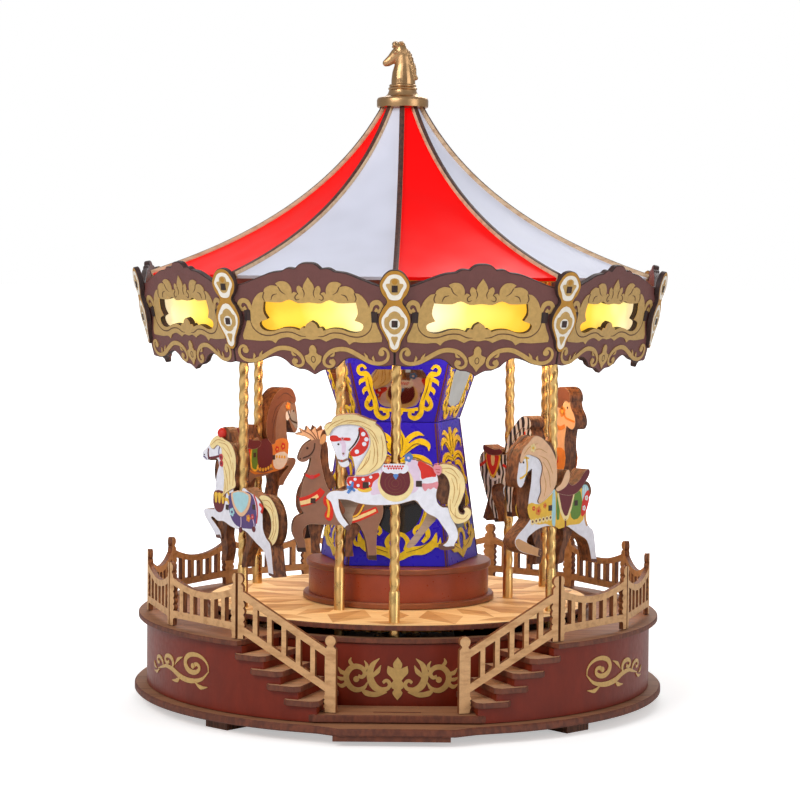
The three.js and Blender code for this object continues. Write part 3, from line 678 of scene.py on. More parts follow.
def fleur(build, place):
    """The gold lily between crescent leaves and curls on the front wall."""
    petals = mirrored([(0, 8.2, 1), (1.7, 5.6), (1.4, 3.8, 1), (3.8, 4.8, 1), (4, 2.2), (2.5, 0.4),
                       (1.5, -0.9, 1), (2.4, -2.2), (2.2, -3.6), (1.2, -4.4, 1), (1.9, -5.8), (0, -8.4, 1)])
    build.plate(spline(petals, closed=True, steps=5), 0, 0.4, place, face=0, edge=0)
    strokes = [([(7, 7.6), (9.6, 5), (10.6, 1.2), (9.4, -2.6), (6.6, -4.6), (3.6, -4)],
                [0.3, 2.0, 2.6, 2.8, 2.4, 1.4]), ([(3.8, -4.2), (2.9, -2.4), (4.2, -0.9), (5.6, -1.8)],
                                                  [1.4, 1.5, 1.3, 1.1]),
               ([(9.8, 0.6), (7.6, 2.6), (6.4, 5)], [1.4, 1.8, 0.2]),
               ([(4, -5.4), (8.2, -6.4), (12, -5.9), (14.4, -4)], [0.4, 1.9, 2.1, 0.4]),
               ([(11.4, -1.6), (13, -4), (16.2, -4.8), (19, -2.8), (19.8, 0.8), (17.6, 3.8), (14.4, 4),
                 (12.6, 2), (13.6, 0.2), (15.2, 0.6)], [0.4, 1.5, 2.0, 2.2, 2.2, 2.1, 1.9, 1.6, 1.4, 1.3]),
               ([(19.4, -2), (21.6, -3.6), (23.6, -2.6)], [1.4, 1.6, 0.2]),
               ([(19.8, 1.4), (21.8, 1.8), (23.2, 3.6)], [1.4, 1.6, 0.2]),
               ([(19.8, -0.6), (22, -0.8), (24, 0.2)], [1.2, 1.4, 0.2]),
               ([(12.8, 2.6), (11.8, 4.6), (12.8, 6.6)], [1.0, 1.4, 0.2]),
               ([(17, 4.2), (18.4, 6), (18, 7.6)], [1.2, 1.4, 0.2]), ]
    for flip in (-1, 1):
        for index, (path, widths) in enumerate(strokes):
            build.ribbon([(flip * x, y) for x, y in path], widths, 0, 0.24 + 0.012 * index, place)
        build.plate(circle_points(flip * 15.9, -0.7, 1.15), 0, 0.42, place, face=0, edge=0)


def base_prints():
    gold = Build()
    middle = 20.6
    for angle, flip in ((-60, 1), (60, -1), (-106, -1), (106, 1), (-150, 1), (150, -1)):
        scroll(gold, drum_place(WALL_RADIUS, angle, middle), flip)
    fleur(gold, drum_place(RECESS_RADIUS - 1.2, 0, middle))
    gold.make("base_gold_prints", [gold_print], "base", "red_wood")


def inner_parts():
    for node, material in (("battery_box", black_plastic), ("battery_cover", black_plastic),
                           ("drive_motor", steel_metal), ("motor_pinion", brass_metal),
                           ("movement_plate", brass_metal), ("lift_cam", pale_face),
                           ("music_cylinder", brass_metal), ("tone_comb", steel_metal),
                           ("spindle", steel_metal), ("ring_gear", brass_metal), ("mast", steel_metal),
                           ("lamp_board", lamp_board_paint), ("foot_1", cad_brown), ("foot_2", cad_brown),
                           ("foot_3", cad_brown), ("foot_4", cad_brown)):
        give(node, material)


# ---------- stairs ----------
def stairs():
    """Four treads a side on a stepped wall that carries on the curve of the base wall."""
    rise = (TOP_BOARD_TOP - LANDING_TOP) / 5
    for name, side in (("left", -1), ("right", 1)):
        up = lambda x, y, z: (side * x, y, z)
        treads, risers = Build(), Build()
        for step in range(4):
            angle = RECESS_ANGLE - 4.1 * step
            top = TOP_BOARD_TOP - (step + 1) * rise
            upper, lower, inner = angle + 1.9, angle - 6, min(angle + 1.9, RECESS_ANGLE)
            outline = [around(80.3, inner), around(80.3, lower), around(104.3, lower),
                       around(106.4, lower + 1.2), around(106.4, upper - 1.2), around(104.3, upper),
                       around(104.3, inner)]
            treads.plate(outline, top - 2.2, top, up, bevel=0.2)
            foot = angle - 5.4
            wall_end = angle + 0.2 if step == 0 else foot + 4.25
            wall = ring_points(104, foot, wall_end, 4) + ring_points(101, wall_end, foot, 4)
            risers.plate(wall, 7.3, top - 1.1, up, edge=0)
            board = ring_points(82, foot + 0.2, foot + 1.4, 1) + ring_points(101.2, foot + 1.4, foot + 0.2, 1)
            risers.plate(board, max(top - rise - 1, LANDING_TOP + 0.3), top - 1.1, up, edge=0)
        for build in (treads, risers):
            if side < 0:
                build.faces = [tuple(reversed(face)) for face in build.faces]
        treads.make(f"stair_{name}_treads", [tread_face, brown_edge], "base", "brown_board",
                    [f"stair_{name}"])
        risers.make(f"stair_{name}_walls", [red_face], "base", "red_wood", [f"stair_{name}"])


# ---------- fence and stair rails ----------
FENCE_RADIUS = 103
FENCE_START = 36.4
PANEL_ANGLE = (360 - 2 * FENCE_START) / 12
FENCE_BOTTOM = 36.2
HALF_POST = 2.2
BALL = 2.1
POST_TOP = 25


def ball_points(x, top, start, end, steps):
    turns = [math.radians(start + (end - start) * i / steps) for i in range(steps + 1)]
    return [(x + BALL * math.cos(turn), top - BALL + BALL * math.sin(turn)) for turn in turns]


def wavy_edge(x, bottom, top, depth, waves):
    """A scalloped edge running up at x, with its bulges depth to the right."""
    steps = 5 * waves
    return [(x + depth * abs(math.sin(math.pi * i / 5)), bottom + (top - bottom) * i / steps)
            for i in range(steps + 1)]


def fence_panel(build, angle):
    half = FENCE_RADIUS * math.sin(math.radians(PANEL_ANGLE / 2)) - 0.2
    span = half - HALF_POST

    def sag(x):
        return 15.4 + 3.6 * (x / span) ** 2

    shoulder = [(half - 1.6, 20.7), (span, 20), (span, 19)]
    right = [(span - 1, 3.2), (span - 0.3, 2.9), (span, 2.2), (span, 0), (half, 0)]
    right += ball_points(half, POST_TOP, 90, 237, 10) + shoulder
    left = [(-x, z) for x, z in reversed(right)]
    top = [(span * (1 - i / 8), sag(span * (1 - i / 8))) for i in range(1, 16)]
    outline = right + top + left
    slots = []
    pitch = (2 * span + 2.3) / 6
    for slot in range(6):
        start = -span + slot * pitch
        end = start + pitch - 2.3
        left_edge = wavy_edge(start, 6, sag(start) - 3, 0.7, 4) if slot == 0 else [(start, 6),
                                                                                   (start, sag(start) - 2.6)]
        right_edge = wavy_edge(end, 6, sag(end) - 3, -0.7, 4) if slot == 5 else [(end, 6),
                                                                                 (end, sag(end) - 2.6)]
        slots.append(right_edge + left_edge[::-1])
    x, y = around(FENCE_RADIUS * math.cos(math.radians(PANEL_ANGLE / 2)), angle)
    build.plate(outline, -1, 1, flat_place((x, y, FENCE_BOTTOM), angle), holes=slots)


def fences():
    for section in range(6):
        build = Build()
        start = FENCE_START + 2 * section * PANEL_ANGLE
        fence_panel(build, start + 0.5 * PANEL_ANGLE)
        fence_panel(build, start + 1.5 * PANEL_ANGLE)
        name = f"fence_section_{section + 1}"
        build.make(f"{name}_looks", [pale_face, pale_edge], "base", "pale_wood", [name])


def stair_rails():
    end_x, end_y = around(FENCE_RADIUS, FENCE_START - 0.3)
    newel = (25, -95.6)
    run = math.hypot(end_x - newel[0], end_y - newel[1])
    heading = math.atan2(end_y - newel[1], end_x - newel[0])
    low, high, depth, board = 33.8, 55.6, 16.5, 3.2

    def rail(u):
        return low + (high - low) * u / run

    for name, side in (("left", -1), ("right", 1)):
        def place(u, v, w):
            x = newel[0] + u * math.cos(heading) + w * math.sin(heading)
            y = newel[1] + u * math.sin(heading) - w * math.cos(heading)
            return side * x, y, v

        build = Build()
        newel_post = [(-HALF_POST, LANDING_TOP + 0.3), (HALF_POST - 0.1, LANDING_TOP + 0.3)]
        newel_post += wavy_edge(HALF_POST - 0.1, 12, 17, 0.5, 3) + [(HALF_POST - 0.1, 34.6), (1.5, 35.3)]
        newel_post += ball_points(0, 39.7, -57, 237, 16) + [(-1.5, 35.3), (-HALF_POST, 34.6)]
        build.plate(newel_post, -1, 1, place)
        half_post = [(run, FENCE_BOTTOM), (run, FENCE_BOTTOM + POST_TOP)]
        half_post += ball_points(run, FENCE_BOTTOM + POST_TOP, 92, 237, 10)
        half_post += [(run - 1.6, FENCE_BOTTOM + 20.7), (run - HALF_POST, FENCE_BOTTOM + 20)]
        half_post += wavy_edge(run - HALF_POST, FENCE_BOTTOM + 17, FENCE_BOTTOM + 4, -0.6, 5)
        half_post += [(run - HALF_POST, FENCE_BOTTOM)]
        build.plate(half_post, -1, 1, place)
        ends = (1, run - 1.2)
        outline = [(u, rail(u) - depth) for u in ends] + [(u, rail(u)) for u in reversed(ends)]
        slots = []
        pitch = (run - 2 * HALF_POST + 1.9) / 6
        for slot in range(6):
            start = HALF_POST + slot * pitch
            end = start + pitch - 1.9
            slots.append([(start, rail(start) - depth + board), (end, rail(end) - depth + board),
                          (end, rail(end) - board), (start, rail(start) - board)])
        build.plate(outline, -0.98, 0.98, place, holes=slots)
        if side < 0:
            build.faces = [tuple(reversed(face)) for face in build.faces]
        build.make(f"stair_rail_{name}_looks", [pale_face, pale_edge], "base", "pale_wood",
                   [f"stair_rail_{name}"])


# ---------- turntable and pedestal ----------
TURNTABLE_TOP = 40.9


def turntable():
    build = Build()
    up = level_place(REST_TURN)
    rim = ring_points(79.1, 0, 360, 180)[:-1]
    build.plate(rim, 38.9, TURNTABLE_TOP - 0.2, up, face=1, edge=1, bevel=0.2)
    build.plate(ring_points(78.7, 0, 360, 180)[:-1], TURNTABLE_TOP - 0.2, TURNTABLE_TOP, up,
                holes=[ring_points(36, 0, 360, 90)[:-1]], face=2, edge=1)
    points = 10
    for index in range(points):
        angle = 360 * (index + 0.5) / points
        for side, slot in ((-1, 3), (1, 4)):
            long_kite = [around(76.4, angle), around(59, angle + side * 9), around(41, angle)]
            build.plate(long_kite, TURNTABLE_TOP, TURNTABLE_TOP + 0.05, up, face=slot, edge=slot)
            between = angle + 180 / points
            short_kite = [around(66, between), around(53, between + side * 6), around(41, between)]
            build.plate(short_kite, TURNTABLE_TOP, TURNTABLE_TOP + 0.06, up, face=7 - slot, edge=slot)
            petal = [around(77.2, between), around(71, between + side * 9), around(67.5, between)]
            build.plate(petal, TURNTABLE_TOP, TURNTABLE_TOP + 0.04, up, face=slot, edge=slot)
    build.make("turntable_looks", [brown_face, brown_edge, cream_veneer, tan_veneer, amber_veneer],
               "carousel", "veneer", ["turntable"])


def pedestal():
    build = Build()
    build.lathe([(36.5, 41.1), (39.3, 41.1), (39.6, 41.5), (39.6, 43), (39.2, 43.5), (36.5, 43.5)], 120, 1)
    build.lathe([(35.2, 43.4), (37.3, 43.4), (37.3, 54.7), (35.2, 54.7)], 120, 0)
    build.lathe([(8, 54.6), (37.9, 54.6), (38.3, 55), (38.3, 56.5), (37.9, 57), (8, 57)], 120, 1)
    build.make("pedestal_looks", [drum_face, drum_ring], "carousel", "red_wood", ["pedestal"])


# ---------- column ----------
COLUMN_SIDES = 5
WAIST = 115


def column_faces():
    """Each face's plane: (angle, foot of its middle line, lean, height)."""
    slope = math.cos(math.pi / COLUMN_SIDES)
    for index in range(COLUMN_SIDES):
        angle = 360 * index / COLUMN_SIDES + REST_TURN
        lower_lean = math.degrees(math.atan2((26.2 - 34.7) * slope, WAIST - 57.3))
        upper_lean = math.degrees(math.atan2((34.7 - 26.2) * slope, 139 - WAIST - 0.3))
        low = flat_place((*around(34.7 * slope, angle), 57.3), angle, lower_lean)
        high = flat_place((*around(26.2 * slope, angle), WAIST + 0.3), angle, upper_lean)
        yield angle, low, high


def leaf_cluster(build, place, leaves, slot=0, height=0.3):
    for index, (path, widths) in enumerate(leaves):
        for flip in (-1, 1):
            build.ribbon([(flip * x, y) for x, y in path], widths, 0, height + 0.012 * index, place, slot)


def veins(build, place, paths, slot=1, height=0.48):
    for path in paths:
        for flip in (-1, 1):
            build.ribbon([(flip * x, y) for x, y in path], [0.1, 0.36, 0.1], 0.2, height, place, slot)


def column():
    give("column_lower", blue_paint)
    give("column_upper", blue_paint)
    trim, gold, glass, oval_glass = Build(), Build(), Build(), Build()
    for _, low, high in column_faces():
        for place, widths, length in ((low, (20.2, 15.2), 57.8), (high, (15.2, 20.2), 24.9)):
            for side in (-1, 1):
                edge = [(side * widths[0], 0), (side * widths[1], length),
                        (side * (widths[1] - 0.75), length), (side * (widths[0] - 0.75), 0)]
                trim.plate(edge, 0, 0.15, place, face=0, edge=0)
        # upper mirror, wide at the top, in a frame of leaves and curls
        window = mirrored([(0, 22.4, 1), (9.4, 22.4, 1), (11.2, 19.5), (9.2, 12), (7.4, 7.6), (4, 6.2),
                           (0, 5.8)])
        glass.plate(spline(window, closed=True, steps=4), 0, 0.2, high, face=0, edge=0)
        leaf_cluster(gold, high, [([(13.2, 22.6), (14.8, 24), (16.4, 22.6), (15.6, 20.6), (13.4, 20.4),
                                    (12.2, 18), (11.6, 14), (10, 10)],
                                   [1.0, 1.2, 1.4, 1.6, 2.4, 2.8, 2.6, 2.0]),
                                  ([(12.2, 18.6), (15.2, 17.4), (16, 15.6)], [1.6, 1.8, 0.2]),
                                  ([(11.6, 15.4), (14, 13.4), (14.2, 11.6)], [1.6, 1.7, 0.2]),
                                  ([(10.6, 12), (12.2, 9.6), (13, 7), (11.6, 5.4), (10.2, 6.4)],
                                   [1.6, 2.0, 1.8, 1.5, 1.1]), ([(10, 10.6), (9.2, 6.4), (8.8, 3.4),
                                                                 (6.8, 1.6), (4.6, 2.4), (4.8, 4.4),
                                                                 (6.4, 4.4)],
                                                                [1.8, 2.2, 2.1, 1.9, 1.6, 1.3, 1.2]),
                                  ([(7.8, 5.6), (4, 5), (0, 5.4)], [1.4, 1.3, 1.4]),
                                  ([(1.6, 5.6), (0.9, 3.4), (0, 1.8)], [1.2, 1.2, 0.3]), ])
        veins(gold, high, [[(12.6, 19), (11.4, 14), (10, 9.6)], [(12.6, 9), (12, 7), (10.8, 6.6)],
                           [(8.6, 8), (8, 4.4), (6.2, 2.8)]])
        # lower mirror between a plume above and a swag of leaves below
        oval = [(10.2 * math.cos(t), 25.5 + 13 * math.sin(t)) for t in (2 * math.pi * i / 40
                                                                        for i in range(40))]
        oval_glass.plate(oval, 0, 0.2, low, face=0, edge=0)
        leaf_cluster(gold, low, [([(0.4, 44), (1.6, 50), (0.6, 55.4)], [2.6, 3.4, 0.4]),
                                 ([(1.8, 47.6), (4.2, 51.6), (7.6, 53.6), (10.4, 52.8)],
                                  [1.2, 2.2, 2.0, 0.2]), ([(1.6, 45), (5.2, 48.6), (9, 50.4), (12, 49),
                                                           (12.4, 46.6)], [1.4, 2.6, 2.6, 2.0, 0.3]),
                                 ([(5.4, 47.4), (3.6, 49.2), (3.6, 51.2), (5.4, 51.6)], [1.4, 1.6, 1.3, 0.9]),
                                 ([(0.6, 42), (5, 43.8), (9.6, 43.4), (12.8, 41.2), (13, 38.8)],
                                  [1.8, 2.8, 2.8, 2.0, 0.3]), ([(2.6, 40.4), (7.4, 40.2), (11, 37.2),
                                                                (11.9, 33.4), (11.4, 29.8)],
                                                               [1.6, 2.2, 2.2, 1.8, 1.2]),
                                 ([(11.4, 30.6), (12.6, 27), (11.6, 22), (10.2, 18), (8.6, 14.6)],
                                  [1.0, 1.8, 2.0, 1.9, 1.6]), ([(12.2, 34.6), (14, 33), (14.2, 30.6)],
                                                               [1.0, 1.6, 0.2]),
                                 ([(12, 26), (14.2, 24.4), (14.6, 22)], [1.0, 1.6, 0.2]),
                                 ([(15.8, 13.6), (14.4, 9.2), (10.6, 6.6), (6, 6), (1.6, 3.6), (0, 1.6)],
                                  [0.4, 3.2, 3.8, 3.4, 2.8, 0.6]), ([(10.2, 9.6), (12.2, 12.4), (11.4, 15.4),
                                                                     (8.6, 16), (6.8, 14), (7.8, 12.4)],
                                                                    [1.4, 2.2, 2.0, 1.7, 1.4, 1.2]),
                                 ([(3.2, 6.4), (4.2, 9.6), (2.6, 12.2), (0, 13)], [1.6, 2.0, 1.8, 1.6]),
                                 ([(13.6, 8.6), (16.8, 8.8), (17.4, 11.6)], [1.4, 1.8, 0.2]), ])
        veins(gold, low, [[(2.4, 45.6), (7, 49.4), (11, 48.4)], [(1.6, 42.6), (7, 43.8), (12, 41)],
                          [(1.4, 46.6), (1.8, 50), (1.2, 53)], [(13.8, 10.6), (9.6, 7.4), (3.6, 5.4)],
                          [(11.4, 11.6), (10.6, 14.4), (8.4, 14.4)], [(12, 32), (11.8, 26), (10, 18.4)]])
    trim.make("column_trim", [blue_trim], "carousel", "blue_panel")
    gold.make("column_gold", [leaf_gold, leaf_line], "carousel", "gold_cap")
    glass.make("column_mirrors", [mirror], "carousel", "blue_panel")
    oval_glass.make("column_ovals", [dark_glass], "carousel", "blue_panel")


# ---------- cornice ----------
CANOPY_SIDES = 10
CORNICE_BOTTOM = 141.7
CORNICE_RADIUS = 103.3
SIDE_ANGLE = 360 / CANOPY_SIDES
APOTHEM_SHARE = math.cos(math.pi / CANOPY_SIDES)
LEAN = math.degrees(math.atan2((111 - 103.3) * APOTHEM_SHARE, 176 - 141.7))

WINDOW = mirrored([(0, 23.4), (4.5, 23.1), (8, 24.4), (11.5, 23.3), (18.4, 23.6, 1), (18.9, 19.6),
                   (17.4, 16.8, 1), (20.6, 15.4), (20.2, 13.4), (18, 12.2), (15, 12.3), (11.5, 13.4),
                   (7.8, 13.5), (4.8, 12.7, 1), (4, 13.8), (2.6, 13.6, 1), (1.8, 15.2), (0, 16.2, 1)])
PANEL = mirrored([(0, 38.4), (3, 38), (5.2, 36.2, 1), (8.2, 36.4), (10.6, 35.2, 1), (15, 34.6), (22, 32),
                  (27.6, 30), (31.6, 29.6), (33.9, 30.2, 1), (31.7, 0, 1), (27, -0.6), (22, 0.2), (18.6, 1.6),
                  (15, 2.4), (11.8, 1.2), (9.4, -1, 1), (6.2, -2.3, 1), (3.4, -2.6), (0, -4.4, 1)])
LEAF_FRAME = mirrored([(0, 33, 1), (1.9, 30.2), (2.3, 28.6, 1), (4, 29.8), (4.8, 28.4), (4.2, 26.6, 1),
                       (6, 27.4), (6.8, 26.6, 1), (7, 29), (8.6, 31), (11.2, 31.4), (13.2, 30.6, 1),
                       (12.2, 29.4, 1), (15, 29.8), (17.6, 28.6), (18.2, 27.2, 1), (20, 26.8), (22.2, 24.6),
                       (23.4, 22), (24.6, 19.8), (25.6, 16.6), (26.6, 13.6), (27.8, 10.6), (27.6, 8.9, 1),
                       (24, 8.6), (20.2, 8.4), (16.6, 8.6), (14.8, 7.6, 1), (13.2, 9.2), (9.6, 10),
                       (7.4, 9.4), (5.6, 8.6, 1), (3, 9.6), (0, 9.2)])


def cornice_window_frame():
    return spline(WINDOW, closed=True, steps=3)


def cornice_panel(build, place):
    build.plate(spline(PANEL, closed=True, steps=5), -2.4, 0, place, holes=[cornice_window_frame()],
                bevel=0.3)


def cornice_gold(build, place):
    build.plate(spline(LEAF_FRAME, closed=True, steps=4), 0.02, 0.25, place, holes=[cornice_window_frame()],
                face=0, edge=0)
    for flip in (-1, 1):
        curl = [(24, 20.6), (25, 23.2), (27.2, 23.8), (28.4, 22), (27.2, 20.4), (25.8, 21.2)]
        build.ribbon([(flip * x, y) for x, y in curl], [1.2, 1.8, 1.8, 1.6, 1.3, 1.5], 0.02, 0.3, place)
        lower = [(26.9, 5.2), (27.8, 6.3), (29.4, 5.6), (29.8, 3.4), (28.6, 1.5), (25.9, 0.6), (22.7, 1.1),
                 (20.1, 2.4), (17, 4.2), (13.8, 5.6), (10.7, 5.8), (7.6, 5), (5.3, 3.3), (4.2, 1.4),
                 (4.6, -0.4), (6.6, -1), (8.2, 0.5), (7.4, 1.8)]
        build.ribbon([(flip * x, y) for x, y in lower], [1.5, 1.1, 1.0, 1.1, 1.2, 1.4, 1.6, 1.7, 1.7, 1.7,
                                                         1.7, 1.6, 1.4, 1.2, 1.1, 1.1, 1.1, 1.2], 0.02, 0.26,
                     place, steps=4)
        for index, (path, widths) in enumerate((([(22, 1.8), (21.2, 3.2), (20.4, 4.6)], [0.4, 1.0, 0.1]),
                                                ([(24.4, 1.2), (23.8, 2.6), (24, 3.6)], [0.4, 1.0, 0.1]),
                                                ([(8.6, 4.8), (8, 3.4), (6.8, 3)], [0.4, 1.0, 0.2]))):
            build.ribbon([(flip * x, y) for x, y in path], widths, 0.02, 0.3 + 0.01 * index, place, steps=3)
        build.plate(circle_points(flip * 27.2, 4.7, 1.2, 14), 0.02, 0.33, place, face=0, edge=0)
        build.plate(circle_points(flip * 7.2, 0.9, 0.95, 12), 0.02, 0.33, place, face=0, edge=0)
        grooves = [([(24.6, 17), (23.4, 13.4), (20.4, 11), (16.4, 10.6), (12, 11.8), (8, 11.9), (4.6, 10.6),
                     (2.4, 10.4)], [0.15, 0.4, 0.45, 0.45, 0.45, 0.4, 0.4, 0.15]),
                   ([(12.2, 29.4), (11.2, 27.6), (9.4, 26.4)], [0.4, 0.4, 0.1]),
                   ([(18, 27.2), (18.6, 25.2), (18, 23.8)], [0.4, 0.45, 0.2]),
                   ([(12.8, 26.6), (14.6, 26), (15.4, 24.2)], [0.15, 0.45, 0.2]),
                   ([(4.4, 26.8), (5.6, 25.6), (5.2, 24.4), (3.8, 24.8)], [0.3, 0.4, 0.35, 0.1]),
                   ([(2.4, 28.6), (1.8, 27), (2.2, 25.4)], [0.3, 0.35, 0.1])]
        for index, (path, widths) in enumerate(grooves):
            build.ribbon([(flip * x, y) for x, y in path], widths, 0.1, 0.3 + 0.01 * index, place, slot=1,
                         steps=4)
    drop = mirrored([(0, 7.2), (1.4, 5.8), (1.5, 4), (3.4, 3, 1), (2.9, 0.9), (1.2, -0.9), (0, -2.6, 1)])
    build.plate(spline(drop, closed=True, steps=4), 0.02, 0.36, place, face=0, edge=0)
    ring = [(0.95 * math.cos(t), 1.7 + 1.35 * math.sin(t)) for t in (2 * math.pi * i / 20 for i in range(20))]
    build.plate(ring, 0.1, 0.4, place, holes=[[(0.68 * x, 1.7 + 0.76 * (y - 1.7)) for x, y in ring]], face=1,
                edge=1)


def cornice_tenons(build, place):
    for side in (-1, 1):
        build.plate([(side * 25.4 - 1.25, 16.2), (side * 25.4 + 1.25, 16.2), (side * 25.4 + 1.25, 20.2),
                     (side * 25.4 - 1.25, 20.2)], -2, 0.42, place, face=0, edge=0)


SHIELD = mirrored([(0, 36.2), (2.4, 35.6), (4.4, 33.6), (5.7, 30.6), (4.8, 27.2), (3, 24.4), (4.6, 21.6),
                   (5.9, 18.4), (5.8, 15.4), (4.2, 12), (2.7, 9.2), (2, 6.6), (0.9, 5.2), (0, 5)])


def corner_shield(build, prints, place):
    """A figure-of-eight plate with ivory and ochre prints and two tenon ends."""
    build.plate(spline(SHIELD, closed=True, steps=4), -1.1, 0.9, place, bevel=0.25)

    def printed(half, slot, height):
        prints.plate(spline(mirrored(half), closed=True, steps=4), 0.9, height, place, face=slot, edge=slot)

    printed([(0, 22.8, 1), (1.7, 22.2), (3.3, 20.2), (4.7, 17.8), (4.6, 15.2), (3.3, 12.4), (2, 9.8),
             (1.4, 7.2), (0, 6.2)], 0, 1.0)
    printed([(0, 20.8), (1.7, 20), (2.4, 18.8, 1), (3.6, 18), (3.6, 14.8), (2.4, 13.6, 1), (1.6, 12.6),
             (0, 12)], 1, 1.06)
    printed([(0, 11.2), (1.2, 11), (0.8, 9.4), (0, 7.6, 1)], 1, 1.07)
    printed([(0, 34.6), (2.2, 34), (3.8, 32), (4.4, 30.2), (3.2, 27.8), (2, 25.4), (0, 24.9)], 0, 1.0)
    printed([(0, 33.2), (1.5, 32.6), (1.8, 31.2, 1), (3.2, 30.8), (2.4, 29), (1.3, 27.2), (0, 26.8)], 1, 1.06)
    for height in (16, 31.9):
        prints.plate(circle_points(0, height, 2.0 if height < 20 else 1.1), 0.9, 1.1, place,
                     face=0 if height < 20 else 2, edge=0)
    for height in (16, 29.2):
        prints.plate([(-1.1, height - 1.25), (1.1, height - 1.25), (1.1, height + 1.25),
                      (-1.1, height + 1.25)], 0.9, 1.3, place, face=3, edge=3)


def cornice():
    panels, gold, tenons, shields, prints = Build(), Build(), Build(), Build(), Build()
    for side in range(CANOPY_SIDES):
        angle = SIDE_ANGLE * (side + 0.5) + REST_TURN
        place = flat_place((*around(CORNICE_RADIUS * APOTHEM_SHARE, angle), CORNICE_BOTTOM), angle, LEAN)
        cornice_panel(panels, place)
        cornice_gold(gold, place)
        cornice_tenons(tenons, place)
        corner = SIDE_ANGLE * side + REST_TURN
        place = flat_place((*around(CORNICE_RADIUS, corner), CORNICE_BOTTOM), corner, LEAN)
        corner_shield(shields, prints, place)
    panels.make("cornice_panels", [plum_face, plum_edge], "carousel", "plum_wood", ["cornice"])
    gold.make("cornice_gold", [gold_print, gold_groove], "carousel", "plum_wood")
    tenons.make("cornice_tenons", [dark_tenon], "carousel", "plum_wood")
    shields.make("corner_shields", [ochre_print, plum_edge], "carousel", "plum_wood")
    prints.make("corner_prints", [ivory_print, gold_print, ochre_print, dark_tenon], "carousel", "plum_wood")
    give("light_diffuser", diffuser_glow())
    give("canopy_floor", by_facing("canopy_floor_wood", (150, 96, 60), (90, 54, 36)))


# ---------- roof ----------
def roof_profile(steps=28):
    """(corner radius, height) down the sweep from the eave to the cap."""
    eave, bend, peak = (104.5, 174.4), (34, 197), (7.8, 242.8)
    line = []
    for i in range(steps + 1):
        t = i / steps
        line.append(tuple((1 - t) ** 2 * a + 2 * t * (1 - t) * b + t * t * c for a, b,
                          c in zip(eave, bend, peak)))
    return line


def roof():
    profile = roof_profile()
    panels = {0: Build(), 1: Build()}
    ribs = Build()
    for side in range(CANOPY_SIDES):
        build = panels[side % 2]
        left, right = SIDE_ANGLE * side + REST_TURN, SIDE_ANGLE * (side + 1) + REST_TURN
        sections = []
        for radius, height in profile:
            (x0, y0), (x1, y1) = around(radius, left), around(radius, right)
            inner = max(radius - 1, 1) / radius
            across = [(x0 + (x1 - x0) * t, y0 + (y1 - y0) * t) for t in (0.0, 0.25, 0.5, 0.75, 1.0)]
            sections.append([(x, y, height) for x, y in across]
                            + [(x * inner, y * inner, height - 1.2) for x, y in reversed(across)])
        build.loft(sections)
        # each rib is a thin plate on edge that stands proud of the panels
        out = Vector((*around(1, left), 0))
        across = Vector((math.cos(math.radians(left)), math.sin(math.radians(left)), 0))
        rows = []
        for i, (radius, height) in enumerate(profile):
            before, after = profile[max(i - 1, 0)], profile[min(i + 1, len(profile) - 1)]
            along = Vector((after[0] - before[0], after[1] - before[1])).normalized()
            normal = Vector((along.y, -along.x))
            rows.append([(radius + normal.x * depth, height + normal.y * depth) for depth in (-1.2, 1.4)])
        for i in range(len(rows) - 1):
            corners = [rows[i][0], rows[i][1], rows[i + 1][1], rows[i + 1][0]]
            points = [tuple(out * r + across * w + Vector((0, 0, z))) for w in (-1, 1) for r, z in corners]
            ribs.add(points, [(0, 1, 2, 3), (7, 6, 5, 4)], 0)
            ribs.add(points, [(1, 5, 6, 2), (4, 0, 3, 7)], 1)
            if i == 0:
                ribs.add(points, [(0, 4, 5, 1)], 1)
            if i == len(rows) - 2:
                ribs.add(points, [(3, 2, 6, 7)], 1)
    panels[0].make("roof_red_panels", [red_plastic], "carousel", "canopy_plastic", ["roof"])
    panels[1].make("roof_white_panels", [white_plastic], "carousel", "canopy_plastic")
    made = ribs.make("roof_ribs", [rib_side, rib_edge], "carousel", "brown_board")
    weld = made.modifiers.new("weld", "WELD")
    weld.merge_threshold = 1e-6


